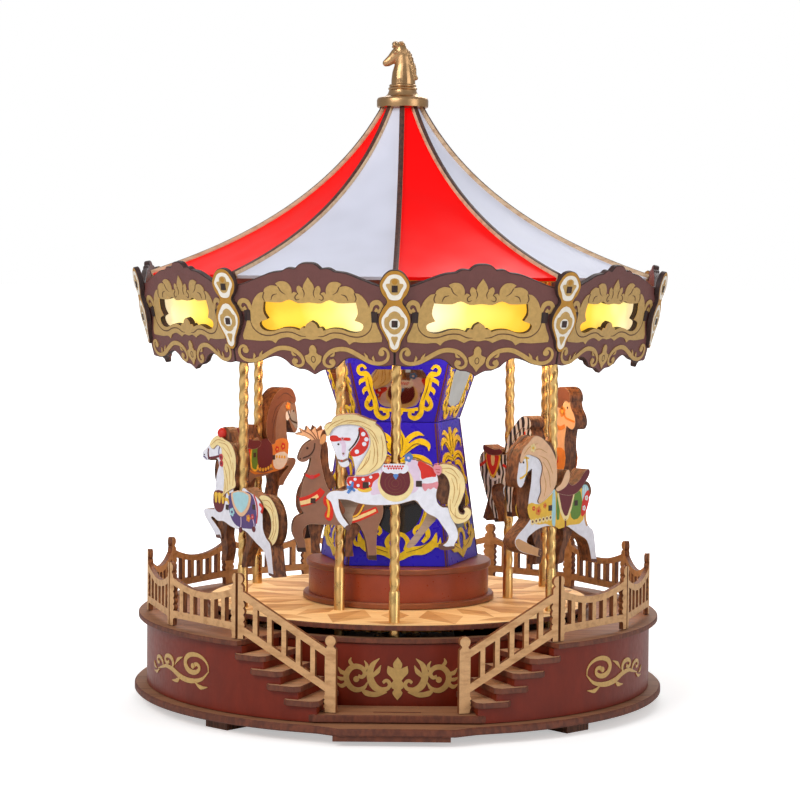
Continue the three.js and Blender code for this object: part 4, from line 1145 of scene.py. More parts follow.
def cap_and_finial():
    cap = Build()
    profile = [(0.01, 243.1), (9.8, 243.1), (10.5, 243.5), (10.6, 244.4), (10.6, 246.2), (10.3, 247),
               (9.6, 247.4), (7.6, 247.6), (6.7, 248.2), (6.1, 249), (5.8, 249.8), (5.6, 250.4), (5.9, 250.7),
               (6, 251.1), (5.7, 251.5), (5.3, 251.7), (5.6, 252), (5.6, 252.4), (5.2, 252.8), (0.01, 252.9)]
    cap.lathe(profile, 96)
    cap.make("roof_cap_looks", [satin_gold], "carousel", "gold_cap", ["roof_cap"], smooth_angle=50)

    head = Build()

    def tube(path, radii, depth=1.0):
        """A tube of oval section along points in (x, z)."""
        rings = []
        for i, (x, z) in enumerate(path):
            before, after = path[max(i - 1, 0)], path[min(i + 1, len(path) - 1)]
            along = Vector((after[0] - before[0], after[1] - before[1])).normalized()
            across = Vector((along.y, -along.x))
            rings.append([(x + across.x * radii[i] * math.cos(t), depth * radii[i] * math.sin(t),
                           z + across.y * radii[i] * math.cos(t)) for t in (2 * math.pi * k / 20
                                                                            for k in range(20))])
        head.loft(rings)

    tube([(0.2, 252.2), (0.2, 255), (0.1, 258), (0.2, 261), (-0.1, 264), (-0.9, 266.4)],
         [5.0, 4.9, 4.4, 3.6, 3.2, 2.6], 0.86)
    tube([(1.4, 266.2), (-0.6, 266), (-2.8, 264.6), (-4.8, 262.9), (-6.6, 261.6), (-7.6, 261.2)],
         [2.6, 3.3, 2.9, 2.1, 1.7, 1.2], 0.82)
    head.ball((-6.9, 0, 261.5), (1.5, 1.35, 1.5))
    head.ball((-1.4, 0, 264.4), (2.9, 2.5, 2.4))
    for side in (-1, 1):
        head.ball((-2.9, side * 2.3, 265.7), (0.95, 0.5, 0.7))
        tube([(0.2, 268), (0, 269.4), (-0.3, 270.6)], [0.95, 0.7, 0.15])
        head.ball((-7.5, side * 0.9, 262), (0.5, 0.4, 0.5))
    random.seed(7)
    for index in range(13):
        share = index / 12
        x = -3.2 + 8.2 * share + (1.4 * math.sin(share * math.pi))
        z = 269.3 - 13.6 * share**1.5
        for side in (-1, 0, 1):
            wobble = random.uniform(-0.3, 0.3)
            head.ball((x + wobble, side * 1.25, z + 0.4 * side), (1.25, 0.95, 1.0), steps=6)
    for index in range(4):
        head.ball((-3.6 + index * 0.9, 0.9 * (-1) ** index, 268.2 + 0.5 * index), (1.1, 1.0, 0.75), steps=6)
    piece = head.make("horse_head_looks", [satin_gold], "carousel", "gold_cap", ["horse_head_finial"],
                      smooth_angle=180)
    remesh = piece.modifiers.new("remesh", "REMESH")
    remesh.mode = "VOXEL"
    remesh.voxel_size = 0.22 * MM
    remesh.use_smooth_shade = True
    smooth = piece.modifiers.new("smooth", "SMOOTH")
    smooth.iterations = 3
    smooth.factor = 0.5


# ---------- poles ----------
RINGS = {"outer": 71.3, "inner": 45.5}
RIDERS = {"white_horse": ("outer", 0, True, 102.4), "bay_horse": ("outer", -120, True, 102),
          "camel": ("outer", 120, True, 101), "plumed_horse": ("outer", -60, False, 87.2),
          "golden_horse": ("outer", 60, False, 89.5), "grey_horse": ("outer", 180, False, 88),
          "deer": ("inner", -30, False, 88), "zebra": ("inner", 90, True, 100.8),
          "black_horse": ("inner", 210, False, 88), }


def pole(name, x, y, bottom, top, sleeve_top):
    """A barley-twist brass rod with a plain sleeve at its foot."""
    build = Build()
    sections = []
    height = sleeve_top
    pitch = 11.4
    while height < top + 0.01:
        ring = []
        for k in range(20):
            turn = 2 * math.pi * k / 20
            radius = 1.86 + 0.17 * math.cos(2 * (turn - 2 * math.pi * height / pitch))
            ring.append((x + radius * math.cos(turn), y + radius * math.sin(turn), height))
        sections.append(ring)
        height += 0.7
    build.loft(sections)
    build.lathe([(0.02, bottom), (2.1, bottom), (2.1, sleeve_top - 0.4), (1.8, sleeve_top + 0.3),
                 (0.02, sleeve_top + 0.3)], 24)
    count = 24 * 5
    for index in range(len(build.points) - count, len(build.points)):
        px, py, pz = build.points[index]
        build.points[index] = (px + x, py + y, pz)
    build.make(f"pole_{name}_looks", [brass_metal], f"rider_{name}", "brass", [f"pole_{name}"],
               smooth_angle=60)


def poles():
    for name, (ring, angle, high, _) in RIDERS.items():
        x, y = around(RINGS[ring], angle + REST_TURN)
        top = 172 if high else 157
        sleeve = 53 if high else 58
        pole(name, x, y, top - 137, top, sleeve)


# ---------- riders ----------
PAINTS = {
    "white": (236, 236, 246), "cream": (246, 222, 160), "hair": (196, 146, 78), "red": (216, 42, 28),
    "pink": (228, 146, 156), "lilac": (230, 206, 228), "maroon": (106, 30, 40), "blue": (88, 134, 204),
    "sky": (172, 216, 224), "orange": (226, 138, 52), "yellow": (240, 192, 62), "green": (98, 138, 48),
    "violet": (88, 64, 122), "tan": (214, 162, 112), "peach": (236, 190, 150), "taupe": (146, 108, 90),
    "dark": (60, 38, 32), "chestnut": (124, 70, 44), "grey": (158, 154, 158), "black": (44, 40, 42),
    # the last paint on the next line is the white of a far leg in painted shade
    "hoof": (104, 66, 54), "rose": (196, 60, 70), "white_in_shade": (190, 160, 138),
}
rider_paint = {name: painted(f"rider_{name}", color, rough=0.5, variation=0.07, scale=420, bump=0.1)
               for name, color in PAINTS.items()}
rider_wood = burnt("rider_edge", (142, 88, 52), (74, 42, 26), stripes=(1, 1, 0.5), scale=700)
rider_raw = wooden("rider_raw_wood", (186, 156, 134), (160, 126, 102), scale=60, contrast=0.3)


def striped_coat(turn):
    """Black and white bands across the body, bent a little by noise."""
    material, tree, shader = new_material("zebra_coat")
    coordinates = tree.nodes.new("ShaderNodeTexCoord")
    spin = tree.nodes.new("ShaderNodeVectorRotate")
    spin.rotation_type = "Z_AXIS"
    spin.inputs["Angle"].default_value = math.radians(-turn)
    tree.links.new(coordinates.outputs["Object"], spin.inputs["Vector"])
    wave = tree.nodes.new("ShaderNodeTexWave")
    wave.inputs["Scale"].default_value = 100
    wave.inputs["Distortion"].default_value = 9.0
    wave.inputs["Detail"].default_value = 1.5
    wave.inputs["Detail Scale"].default_value = 0.9
    tree.links.new(spin.outputs["Vector"], wave.inputs["Vector"])
    tree.links.new(add_ramp(tree, wave.outputs["Fac"], [(0.44, linear((34, 30, 32))),
                                                        (0.54, linear((226, 222, 224)))]),
                   shader.inputs["Base Color"])
    shader.inputs["Roughness"].default_value = 0.5
    return material


HALF_STACK = 4.0
THINNING = 0.75


class Rider:
    """A stack of cut plates round a core, printed alike on both outer faces. u runs to the tail."""

    def __init__(self, name):
        ring, angle, _, saddle = RIDERS[name]
        self.name, self.turn = name, angle + REST_TURN + TURNS[name]
        x, y = around(RINGS[ring], angle + REST_TURN)
        flat = flat_place((x, y, saddle), self.turn)
        self.place = lambda u, v, w: flat(u, v, THINNING * w)
        self.wood, self.prints = Build(), Build()
        self.names, self.level = [], 0

    def core(self, outline, half=2.7, sharp=False):
        """Three brown plates with thin gaps between them."""
        line = outline if sharp else spline(outline, closed=True, steps=4)
        share = half / 2.7
        for low, high in ((-2.7, -0.97), (-0.87, 0.87), (0.97, 2.7)):
            shift = 0.011 * self.level
            self.wood.plate(line, low * share + shift, high * share + shift, self.place, face=0, edge=1)
        self.level += 1

    def skin(self, outline, paint, low=2.8, high=HALF_STACK, sides=(-1, 1), sharp=False, steps=4):
        """A thin plate with a painted face on each outer side."""
        line = outline if sharp else spline(outline, closed=True, steps=steps)
        line = line if area_of(line) > 0 else line[::-1]
        face = inset(line, 0.14)
        for side in sides:
            ends = sorted((side * low, side * (high - 0.06)))
            self.wood.plate(line, *ends, self.place, face=2, edge=1)
            self.put(face, paint, side, high - 0.06, high)

    def put(self, line, paint, side, low, high):
        ends = sorted((side * low, side * high))
        slot = self.slot(paint)
        self.prints.plate(line, *ends, self.place, face=slot, edge=slot)

    def slot(self, paint):
        if paint not in self.names:
            self.names.append(paint)
        return self.names.index(paint)

    def patch(self, outline, paint, height=0.1, base=HALF_STACK, sharp=False, sides=(-1, 1)):
        line = [point[:2] for point in outline] if sharp else spline(outline, closed=True, steps=3)
        for side in sides:
            self.put(line, paint, side, base - 0.02, base + height)

    def dots(self, centres, radius, paint, height=0.16, base=HALF_STACK):
        for x, y in centres:
            for side in (-1, 1):
                self.put(circle_points(x, y, radius, 12), paint, side, base - 0.02, base + height)

    def lines(self, paths, widths, paint, height=0.14, base=HALF_STACK):
        slot = self.slot(paint)
        for path in paths:
            for side in (-1, 1):
                line = path if side > 0 else path[::-1]
                self.prints.ribbon(line, widths if side > 0 else widths[::-1], side * (base - 0.02),
                                   side * (base + height), self.place, slot, steps=4)

    def flower(self, x, y, petal, heart, size=1.2, base=HALF_STACK):
        ring = [(x + size * 0.62 * math.cos(t), y + size * 0.62 * math.sin(t))
                for t in (1.257 * i for i in range(5))]
        self.dots(ring, size * 0.5, petal, 0.2, base)
        self.dots([(x, y)], size * 0.36, heart, 0.28, base)

    def tenons(self, centres, size=1.15):
        for x, y in centres:
            square = [(x - size, y - size), (x + size, y - size), (x + size, y + size), (x - size, y + size)]
            self.patch(square, "dark", 0.3, sharp=True)

    def hair(self, outline, paint, strokes, base=HALF_STACK, rise=0.9, line="hair"):
        """A raised plate of combed hair with brown strands."""
        self.skin(outline, paint, low=base - 1.2, high=base + rise)
        self.lines(strokes, [0.1, 0.3, 0.12], line, 0.12, base + rise)

    def finish(self, slot, extra=None):
        for build in (self.wood, self.prints):
            assert build.faces, self.name
        self.wood.make(f"{self.name}_plates", [rider_wood, rider_wood, rider_raw], f"rider_{self.name}", slot,
                       [self.name])
        materials = [(extra or {}).get(name) or rider_paint[name] for name in self.names]
        self.prints.make(f"{self.name}_prints", materials, f"rider_{self.name}", slot)


PRANCING = [(-25.1, 14.3), (-25.3, 11.1), (-24.7, 7.9), (-23.4, 4.6), (-22.3, 1.8), (-21.7, 0.1),
            (-20.4, -1.2), (-18.5, -1.1), (-17.5, 0.1), (-18.1, 1.7), (-17.9, 3.8), (-17.4, 5.2, 1),
            (-16.1, 1.1), (-15.5, -2.5), (-15.6, -4.5, 1), (-18.3, -5), (-18.7, -7.5), (-18.4, -9.7, 1),
            (-20.2, -10.3), (-22.9, -10.2), (-25.2, -10.9), (-26.5, -12.8), (-24.7, -14.7), (-23.5, -18.3),
            (-22.2, -21.5), (-20.1, -24), (-17.9, -25.9, 1), (-17.3, -24.7), (-18.1, -22.9), (-20.1, -20.1),
            (-21.3, -17), (-21.7, -13.6, 1), (-17.9, -13.9), (-14.3, -15), (-9.3, -15.7), (-3.8, -15.7),
            (1.6, -15.2), (5.2, -14.2), (7.9, -13.8), (9.9, -16.2), (12.4, -18.7), (16, -20.5), (18.1, -23.3),
            (19.9, -25.8), (20.6, -27.6), (19.9, -29.6), (18.1, -31), (16.8, -31.9, 1), (18.8, -32.8),
            (22.9, -32, 1), (23.1, -30.3), (24.2, -28.3), (24.3, -26), (23.3, -23.1), (21.7, -20.1),
            (20.5, -16.5), (18.1, -16.1), (16.4, -14.5), (15.8, -11.5), (16.3, -8.6), (16.5, -5.7),
            (15.6, -2.7), (14.3, -0.7), (11.5, 0.7), (8.8, 1.4), (6.6, 1.9), (5.2, 3.2), (4.1, 2.3),
            (3.6, 0.1, 1), (0.2, -0.2), (-4.4, 0.1, 1), (-4.9, 4), (-6.4, 9), (-9.6, 14), (-14.6, 17.2),
            (-20.6, 17.2), ]
CURLED_MANE = [(-27.4, 14.4), (-26.3, 15.5), (-24.8, 15.8, 1), (-24.2, 17.4), (-22.3, 18.6), (-19.7, 19.1),
               (-15.6, 19.2), (-12.9, 18.3), (-10.2, 17.3), (-7.5, 16.4, 1), (-7.7, 15.5, 1), (-5.7, 13.8),
               (-4.2, 11.1), (-3.5, 7.5), (-3.2, 3.8), (-4.2, 1.1), (-5.7, -1.1), (-8.4, -2.9), (-11.5, -4.1),
               (-15.3, -4.3, 1), (-14.8, -2.2), (-12.9, 1.1), (-11.1, 4.3), (-9.7, 7.5), (-10.1, 11),
               (-12, 13.7), (-14.7, 14.9), (-18.3, 15.2), (-21.9, 14.7), (-24, 13.4), (-25.1, 11.6),
               (-26, 10.6), (-26.9, 12.4), ]
CURLED_TAIL = [(16.5, -0.1), (19.7, 0.4), (22.9, -0.6), (25.1, -2.5), (26.5, -5.2), (26.9, -8.8),
               (26.2, -11.5), (25.2, -14.3), (24.3, -16.3), (24.7, -18.2), (26.1, -18.9), (26.8, -17.9),
               (26.2, -16.7, 1), (27.4, -16.1), (28.9, -17), (29.3, -18.8), (28.2, -21), (25.6, -22.3),
               (23.3, -22.4), (21.7, -20.5), (20.6, -17.4), (20.1, -14.7), (20.6, -11.5), (20.9, -8.4),
               (20.3, -5.7), (18.8, -3.6), (17, -2.6), ]
HEAD_UP = [(-6, 15.6), (-10, 19), (-14.4, 20.4), (-19.6, 19), (-22.6, 16.6), (-25.8, 14.6), (-25.6, 12.4),
           (-22.4, 11.3), (-18.4, 12.4), (-14.6, 12.4), (-13.4, 10, 1), (-15.2, 6), (-16.4, 0), (-18, -4.6),
           (-16.8, -8, 1)]
HEAD_DOWN = [(-6, 15.6), (-10, 19.4), (-15, 21), (-20.4, 19.4), (-24.2, 15.4), (-25.8, 9.6), (-26.2, 5),
             (-24, 2.7), (-21.6, 4.6), (-19.6, 8), (-17, 9.4, 1), (-17.4, 4), (-18.6, -1), (-19, -6),
             (-17.4, -10, 1)]
KNEE_UP = [(-20.4, -8.2), (-24.6, -8.8), (-24.4, -11), (-20.6, -14.4), (-16.4, -18), (-15.4, -19.6, 1),
           (-11.2, -19.6, 1), (-12.4, -16.6), (-16.4, -13.6), (-19, -11.4), (-14.4, -12.6), (-10, -12.4)]
KNEE_BENT = [(-20.6, -12.6), (-26, -16.2), (-27.2, -18.8), (-24, -22.2), (-16, -24.4), (-11, -25.6, 1),
             (-10.2, -22.8, 1), (-15.6, -20.8), (-19.6, -18.6), (-15.6, -15.6), (-10, -14)]
HIND_PART = [(-5, -13.8), (0, -14.6), (6, -14.8), (10, -16.6), (14.6, -19), (19.4, -21.4), (21.6, -25),
             (23.2, -30.6, 1), (27, -31.2, 1), (26, -27), (25.2, -22), (24, -18), (21.2, -16), (19, -12.6),
             (18.6, -7), (17.6, -2.8), (14, -0.4), (8.6, 1.2), (4.6, 2.4), (3, 0, 1), (-2.6, 0, 1), (-2.8, 4),
             (-3.6, 10)]
FLOWING_MANE = [(-19.8, 18.2), (-17, 21), (-13, 22.2), (-9, 21), (-4, 19.4), (-0.8, 15.4), (-0.2, 10.4),
                (-1, 6.4), (-0.4, 2.6), (-3.6, 1), (-8, -1), (-10, -2.6, 1), (-9.4, 1), (-9, 5), (-9.8, 9.6),
                (-10.6, 13.6), (-11, 17, 1), (-14, 18.2), (-17.6, 16.4)]
ROUND_TAIL = [(14.6, -0.8), (19, 0.6), (24, -1), (27.8, -5.6), (28.8, -11.6), (26.8, -17), (22.4, -19.4),
              (18.8, -18), (21.8, -15.8), (23.6, -12), (22.8, -7.6), (19.6, -4.6), (16.4, -4.2)]
FAR_FORELEG = [(-15, -12), (-9, -12.6), (-9.4, -18), (-8, -23), (-9.4, -28.4, 1), (-13, -28.6, 1),
               (-12.4, -23), (-14.6, -18)]
FAR_HINDLEG = [(5, -13), (12, -14), (9.6, -20), (6.6, -24.6), (5.6, -29.4, 1), (2, -29.8, 1), (3.2, -24.4),
               (5.4, -19.4)]
TURNS = {"white_horse": 0, "bay_horse": 0, "camel": 0, "plumed_horse": 8, "golden_horse": -10,
         "grey_horse": 0, "deer": 40, "zebra": 30, "black_horse": 0}


def white_horse():
    horse = Rider("white_horse")
    for part in (PRANCING, CURLED_MANE, CURLED_TAIL):
        horse.core(part)
    horse.core([(16, -3), (21, -4), (21.4, -14), (17.6, -15), (15.6, -11)], 2.2)
    # the two far legs are white in painted shade: grey on the foreleg and a shaded tan on the hind leg
    horse.skin([(-21.4, -13.4), (-14.2, -14.2), (-15.2, -17.6), (-16.4, -20.6), (-16.9, -23.6),
                (-19.4, -24.4), (-20.7, -21.2), (-19.4, -18.6), (-20.5, -16)], "grey", 2.8, 3.7, sides=(-1,))
    horse.skin([(7.6, -13), (14, -16.4), (16.2, -20.4), (13.6, -24), (10.6, -27.8), (7.2, -32), (4.6, -32.4),
                (5.4, -30.4), (9, -25.6), (11.4, -21.4), (12, -18.6)], "white_in_shade", 2.6, 3.6, sides=(-1,))
    horse.skin(PRANCING, "white")
    horse.hair(CURLED_MANE, "cream", [[(-26.6, 13), (-24, 15.6), (-20, 17.4)],
                                      [(-24, 14.4), (-19, 16.6), (-14, 16.8)],
                                      [(-18.6, 15.8), (-13.6, 16.4), (-9.4, 14.6)],
                                      [(-13, 15), (-8.8, 12.6), (-6.4, 8)],
                                      [(-10.4, 13), (-7.6, 9), (-6.6, 3)], [(-8.8, 9.4), (-8, 5), (-8.6, 0)],
                                      [(-5.6, 11.4), (-4.8, 7), (-5.2, 1.6)],
                                      [(-9.6, 5.4), (-10.4, 1.6), (-13, -1.8)],
                                      [(-10.6, 3), (-12.2, -0.6), (-14.4, -3)],
                                      [(-7, 5), (-7, 0.6), (-10, -2.8)]])
    horse.hair(CURLED_TAIL, "cream", [[(17.4, -1.4), (21.6, -1.4), (24.6, -5)],
                                      [(19, -2.2), (23, -4.6), (24, -9.6)],
                                      [(21.6, -5), (22.8, -9), (22, -14.6)],
                                      [(24.8, -7), (24.6, -11), (22.8, -16)],
                                      [(21.2, -13), (21.4, -17.4), (24, -20.6)],
                                      [(23.2, -16.4), (23.4, -19.6), (26.4, -20.6), (28, -19)]], rise=0.4)
    horse.lines([[(-13.9, 13.4), (-14.2, 10.6), (-15.8, 7.6), (-17.9, 5.2)]], [0.4, 0.7, 0.5], "dark")
    horse.patch([(-14.2, 14), (-11.6, 13), (-10.2, 10), (-10.8, 6.2), (-13.2, 3.6), (-16.8, 3), (-17.3, 4.8),
                 (-15.2, 7.4), (-13.7, 10.4)], "red")
    horse.dots([(-12.4, 11.6), (-14.8, 4.8), (-12, 7.8), (-11.2, 9.6)], 0.85, "white")
    horse.patch([(-25.1, 10.6), (-22.6, 10.9), (-21.6, 10.1), (-17.6, 10.1), (-17.4, 9), (-20.4, 9.1),
                 (-22.4, 8.7), (-24.9, 8.8)], "red")
    horse.patch([(-21.5, 8.8), (-19.3, 8.5), (-19.2, 4.6), (-20, 2.8), (-20.6, 5), (-20.7, 7.4)], "lilac")
    horse.dots([(-20.4, 9.8)], 0.62, "pink", 0.2)
    horse.dots([(-20.4, 9.8)], 0.26, "dark", 0.26)
    horse.dots([(-21.9, 7.6)], 0.42, "dark")
    horse.dots([(-20, 4)], 0.4, "taupe", 0.18)
    horse.lines([[(-22.1, 1.6), (-20.4, 1.1), (-18.3, 2)]], [0.8, 0.9, 0.8], "taupe")
    horse.dots([(-20.6, 1.3)], 0.35, "red", 0.2)
    horse.patch([(-18.1, -5.1), (-15, -4.8), (-11, -4.6), (-6.6, -3.2), (-6.2, -4.8), (-8.4, -6.8),
                 (-9.4, -9.2), (-12.6, -9.8), (-15.6, -9.2), (-18.3, -7.6)], "red")
    horse.dots([(-15.4, -5.8), (-12.3, -5.8), (-9.4, -4.9), (-14.2, -8.2), (-10.2, -7.4), (-17, -7)], 0.62,
               "white")
    horse.patch([(-14.6, -9.4), (-12, -9.8), (-9.6, -8.8), (-9, -10), (-12, -10.8)], "yellow", 0.12)
    horse.patch([(-6, -3.8), (-4.6, -0.8), (0, -0.6), (3.8, -0.4), (5.6, 1.7), (8.6, 1.2), (9.4, -4),
                 (8.8, -9.4), (5, -11.4), (-2, -12), (-6.4, -11.4), (-9.2, -11.6), (-8.6, -7)], "lilac", 0.08)
    horse.patch(circle_points(0.2, -7.4, 6.9, 36), "cream", 0.14, sharp=True)
    horse.patch([(-5.6, -4.8), (-4.6, -2.6), (0, -2.2), (4.8, -2.6), (5.6, -4.8), (5.6, -7.8), (3.8, -10.8),
                 (0.2, -12), (-3.6, -10.9), (-5.7, -7.9)], "maroon", 0.3)
    horse.lines([[(3.4 * math.cos(t) * s, -7.2 + 3.2 * math.sin(t) * s) for t in (0.7 * i for i in range(10))]
                 for s in (0.4, 0.75, 1.15)], [0.12, 0.16, 0.12], "chestnut", 0.36)
    horse.patch([(-5.2, -0.6), (-4.6, -2.6), (-3, -3.4), (-1.4, -3.2), (0.2, -4), (1.8, -3.2), (3.4, -3.4),
                 (5, -2), (4.6, -0.2)], "white", 0.4)
    horse.patch([(-4.6, 0.1), (4, 0.1), (4.4, -1), (3, -2.1), (0.2, -2.7), (-3, -2.3), (-4.9, -1.2)], "white",
                0.5)
    for index in range(8):
        horse.patch([(-4.1 + index, -0.15), (-3.65 + index, -0.65), (-4.1 + index, -1.15),
                     (-4.55 + index, -0.65)], "red", 0.56, sharp=True)
        if 0 < index < 7:
            horse.patch([(-3.6 + index, -0.9), (-3.15 + index, -1.45), (-3.6 + index, -2),
                         (-4.05 + index, -1.45)], "red", 0.57, sharp=True)
    horse.patch([(-0.8, -4), (0.2, -3.6), (1.2, -4), (0.8, -4.9), (0.2, -5.7), (-0.4, -4.9)], "blue", 0.46)
    horse.flower(5, 2.6, "blue", "lilac", 1.5)
    horse.flower(-3, 1.6, "orange", "yellow", 1.3)
    horse.lines([[(-18.2, -11.2), (-16.9, -9.2), (-16.2, -6.8)], [(-18.6, -8.8), (-16.9, -9.2),
                                                                  (-15.4, -10.4)]], [1.0, 1.3, 0.8], "blue",
                0.3)
    horse.patch([(8.7, 1.2), (12.2, 0.2), (14.5, -1.4), (15.5, -4.5), (10.5, -5.7), (9.7, -2.6)], "red", 0.12)
    horse.patch([(10.4, -5.6), (15.6, -4.6), (16.1, -6.3), (10.5, -7.1)], "white", 0.18)
    horse.patch([(10.5, -7.1), (16.1, -6.3), (16, -9.2), (14.8, -8.6), (13.6, -9.4), (12.6, -9),
                 (11.6, -10.1), (10.6, -9)], "pink", 0.12)
    horse.patch([(14.6, -0.6), (16.6, 0.1), (17.8, -1.2), (17, -3.8), (15.4, -3.2)], "pink", 1.1)
    horse.lines([[(15.4, -1.6), (17.2, -1.8)], [(15.8, -2.6), (17, -2.8)]], [0.2, 0.3], "rose", 1.2)
    horse.tenons([(-11.3, -8), (9.1, -7.3)])
    horse.patch([(16.7, -31.7), (19, -32.8), (22.9, -32.1), (22.9, -31.2), (19.6, -31.4), (18.2, -30.8)],
                "hoof", 0.1)
    horse.patch([(-18.6, -23.8), (-17.5, -23.6), (-17.6, -25.7), (-19.2, -24.9)], "hoof", 0.1)
    horse.finish("white_animal")


def plumed_horse():
    horse = Rider("plumed_horse")
    body = HEAD_UP + KNEE_UP + HIND_PART
    plume = [(-15, 19), (-14.6, 23), (-11.6, 25.6), (-8, 25), (-5.4, 21), (-3, 15), (-8, 14)]
    for part in (body, FLOWING_MANE, ROUND_TAIL, plume, FAR_FORELEG, FAR_HINDLEG):
        horse.core(part)
    horse.skin(body, "white")
    horse.hair(FLOWING_MANE, "cream", [[(-18.6, 18), (-14, 20.4), (-8, 20)],
                                       [(-13, 19.4), (-7, 18.6), (-3, 14)],
                                       [(-10, 17.6), (-5.4, 14.4), (-3, 9)],
                                       [(-9.4, 14), (-5.4, 9.6), (-4.6, 3)],
                                       [(-8.8, 10), (-6.6, 5), (-6.4, 0.6)],
                                       [(-2.4, 12), (-2, 7), (-2.4, 2.6)],
                                       [(-8.4, 5), (-8, 1), (-9.2, -1.6)]], rise=0.6)
    horse.hair(ROUND_TAIL, "cream", [[(17, -1.6), (22, -1.6), (25.6, -5.6)],
                                     [(19, -3), (24, -5), (25.6, -11)],
                                     [(26.4, -7), (27, -12), (24.6, -16.4)],
                                     [(24.6, -9), (25, -13.4), (21.4, -17.8)]], base=2.6, rise=0.3)
    horse.prints.ball(horse.place(-11.8, 23.2, 2.6), (2.5, 2.5, 2.3), horse.slot("red"), steps=8)
    horse.prints.ball(horse.place(-11.8, 23.2, -2.6), (2.5, 2.5, 2.3), horse.slot("red"), steps=8)
    horse.dots([(-16.6, 17.2)], 0.45, "dark")
    horse.dots([(-24.4, 13.6)], 0.35, "dark")
    horse.lines([[(-12.8, 18), (-13.6, 15.4), (-12.6, 12.8)], [(-25.2, 12.8), (-24, 12.6), (-22.8, 12)]],
                [0.5, 0.5], "violet")
    horse.lines([[(-21.4, 16.4), (-21.6, 14), (-21, 12)], [(-21.4, 12.4), (-17, 13), (-12.4, 14)]],
                [0.9, 1.0], "maroon")
    horse.dots([(-11, 13.6), (-10.8, 11)], 1.3, "rose", 0.9)
    horse.dots([(-11, 13.6), (-10.8, 11)], 0.6, "maroon", 1.0)
    horse.patch([(-16.6, -0.6), (-8.6, -0.8), (-8.8, -4), (-10.4, -8), (-13.6, -9), (-16.4, -7.6),
                 (-17.6, -4)], "maroon")
    for x in (-15.4, -12.8, -10.2):
        horse.patch([(x - 1, -1.2), (x + 1, -1.2), (x + 1, -3), (x, -5.4), (x - 1, -3)], "yellow", 0.2)
    horse.lines([[(-9.6, -1), (-7, 0), (-5.6, -1.6)], [(-8.8, -3.4), (-6.8, -3.4), (-5.6, -5)]],
                [1.4, 1.2, 0.6], "yellow", 0.2)
    horse.patch([(-5.4, -0.6), (-6, -5), (-4.4, -10), (0, -13.2), (8.4, -13.6), (13.6, -12.2), (14, -6),
                 (12, -0.8), (8, 1)], "violet")
    horse.patch([(-3.6, 0), (9.8, 0.2), (9.6, -4.4), (6.4, -8), (3.2, -9.2), (-0.4, -7.6), (-3, -4.4)],
                "peach", 0.28)
    horse.patch([(-2.2, -0.2), (8.4, -0.2), (8.2, -3.8), (5.6, -6.6), (3.2, -7.6), (0.4, -6.2), (-1.8, -3.8)],
                "sky", 0.38)
    horse.flower(-3.4, -8, "sky", "violet", 1.6)
    horse.flower(8.6, -9.4, "orange", "yellow", 1.4)
    horse.flower(11.6, -8.6, "rose", "pink", 1.1)
    horse.dots([(12.6, -13.4), (3, -14.6)], 1.15, "maroon", 0.4)
    horse.lines([[(3.2, -9.4), (3.4, -12), (3, -14)], [(12, -9.6), (12.8, -11.4), (12.6, -13)]], [0.4, 0.4],
                "lilac", 0.3)
    horse.lines([[(12.4, 0.2), (14.4, -3), (15, -7), (14.4, -11)]], [0.8, 0.9, 0.7], "rose", 0.2)
    horse.lines([[(16.6, -3), (18.8, -4.4), (18, -6.4)]], [1.0, 1.2], "red", 0.4)
    horse.tenons([(12.6, -4.6), (-7, -6.4)], 1.0)
    horse.patch([(-15.9, -18.4), (-12.6, -18), (-11.2, -19.5), (-15.3, -19.5)], "hoof", 0.1, sharp=True)
    horse.patch([(23, -29.6), (26.6, -29.8), (27, -31.1), (23.3, -30.6)], "hoof", 0.1, sharp=True)
    horse.finish("white_animal")


SADDLE_SEAT = [(-1.8, 0.4), (1.6, 2.6), (4.4, 6.8), (6.2, 8), (7.2, 6.4), (6.8, 3.4), (9, 1.6), (13.6, 3.2),
               (17.4, 6.6), (20.2, 7.4), (20.6, 5.4), (17.4, 2), (12, -1.8), (5, -2.2)]


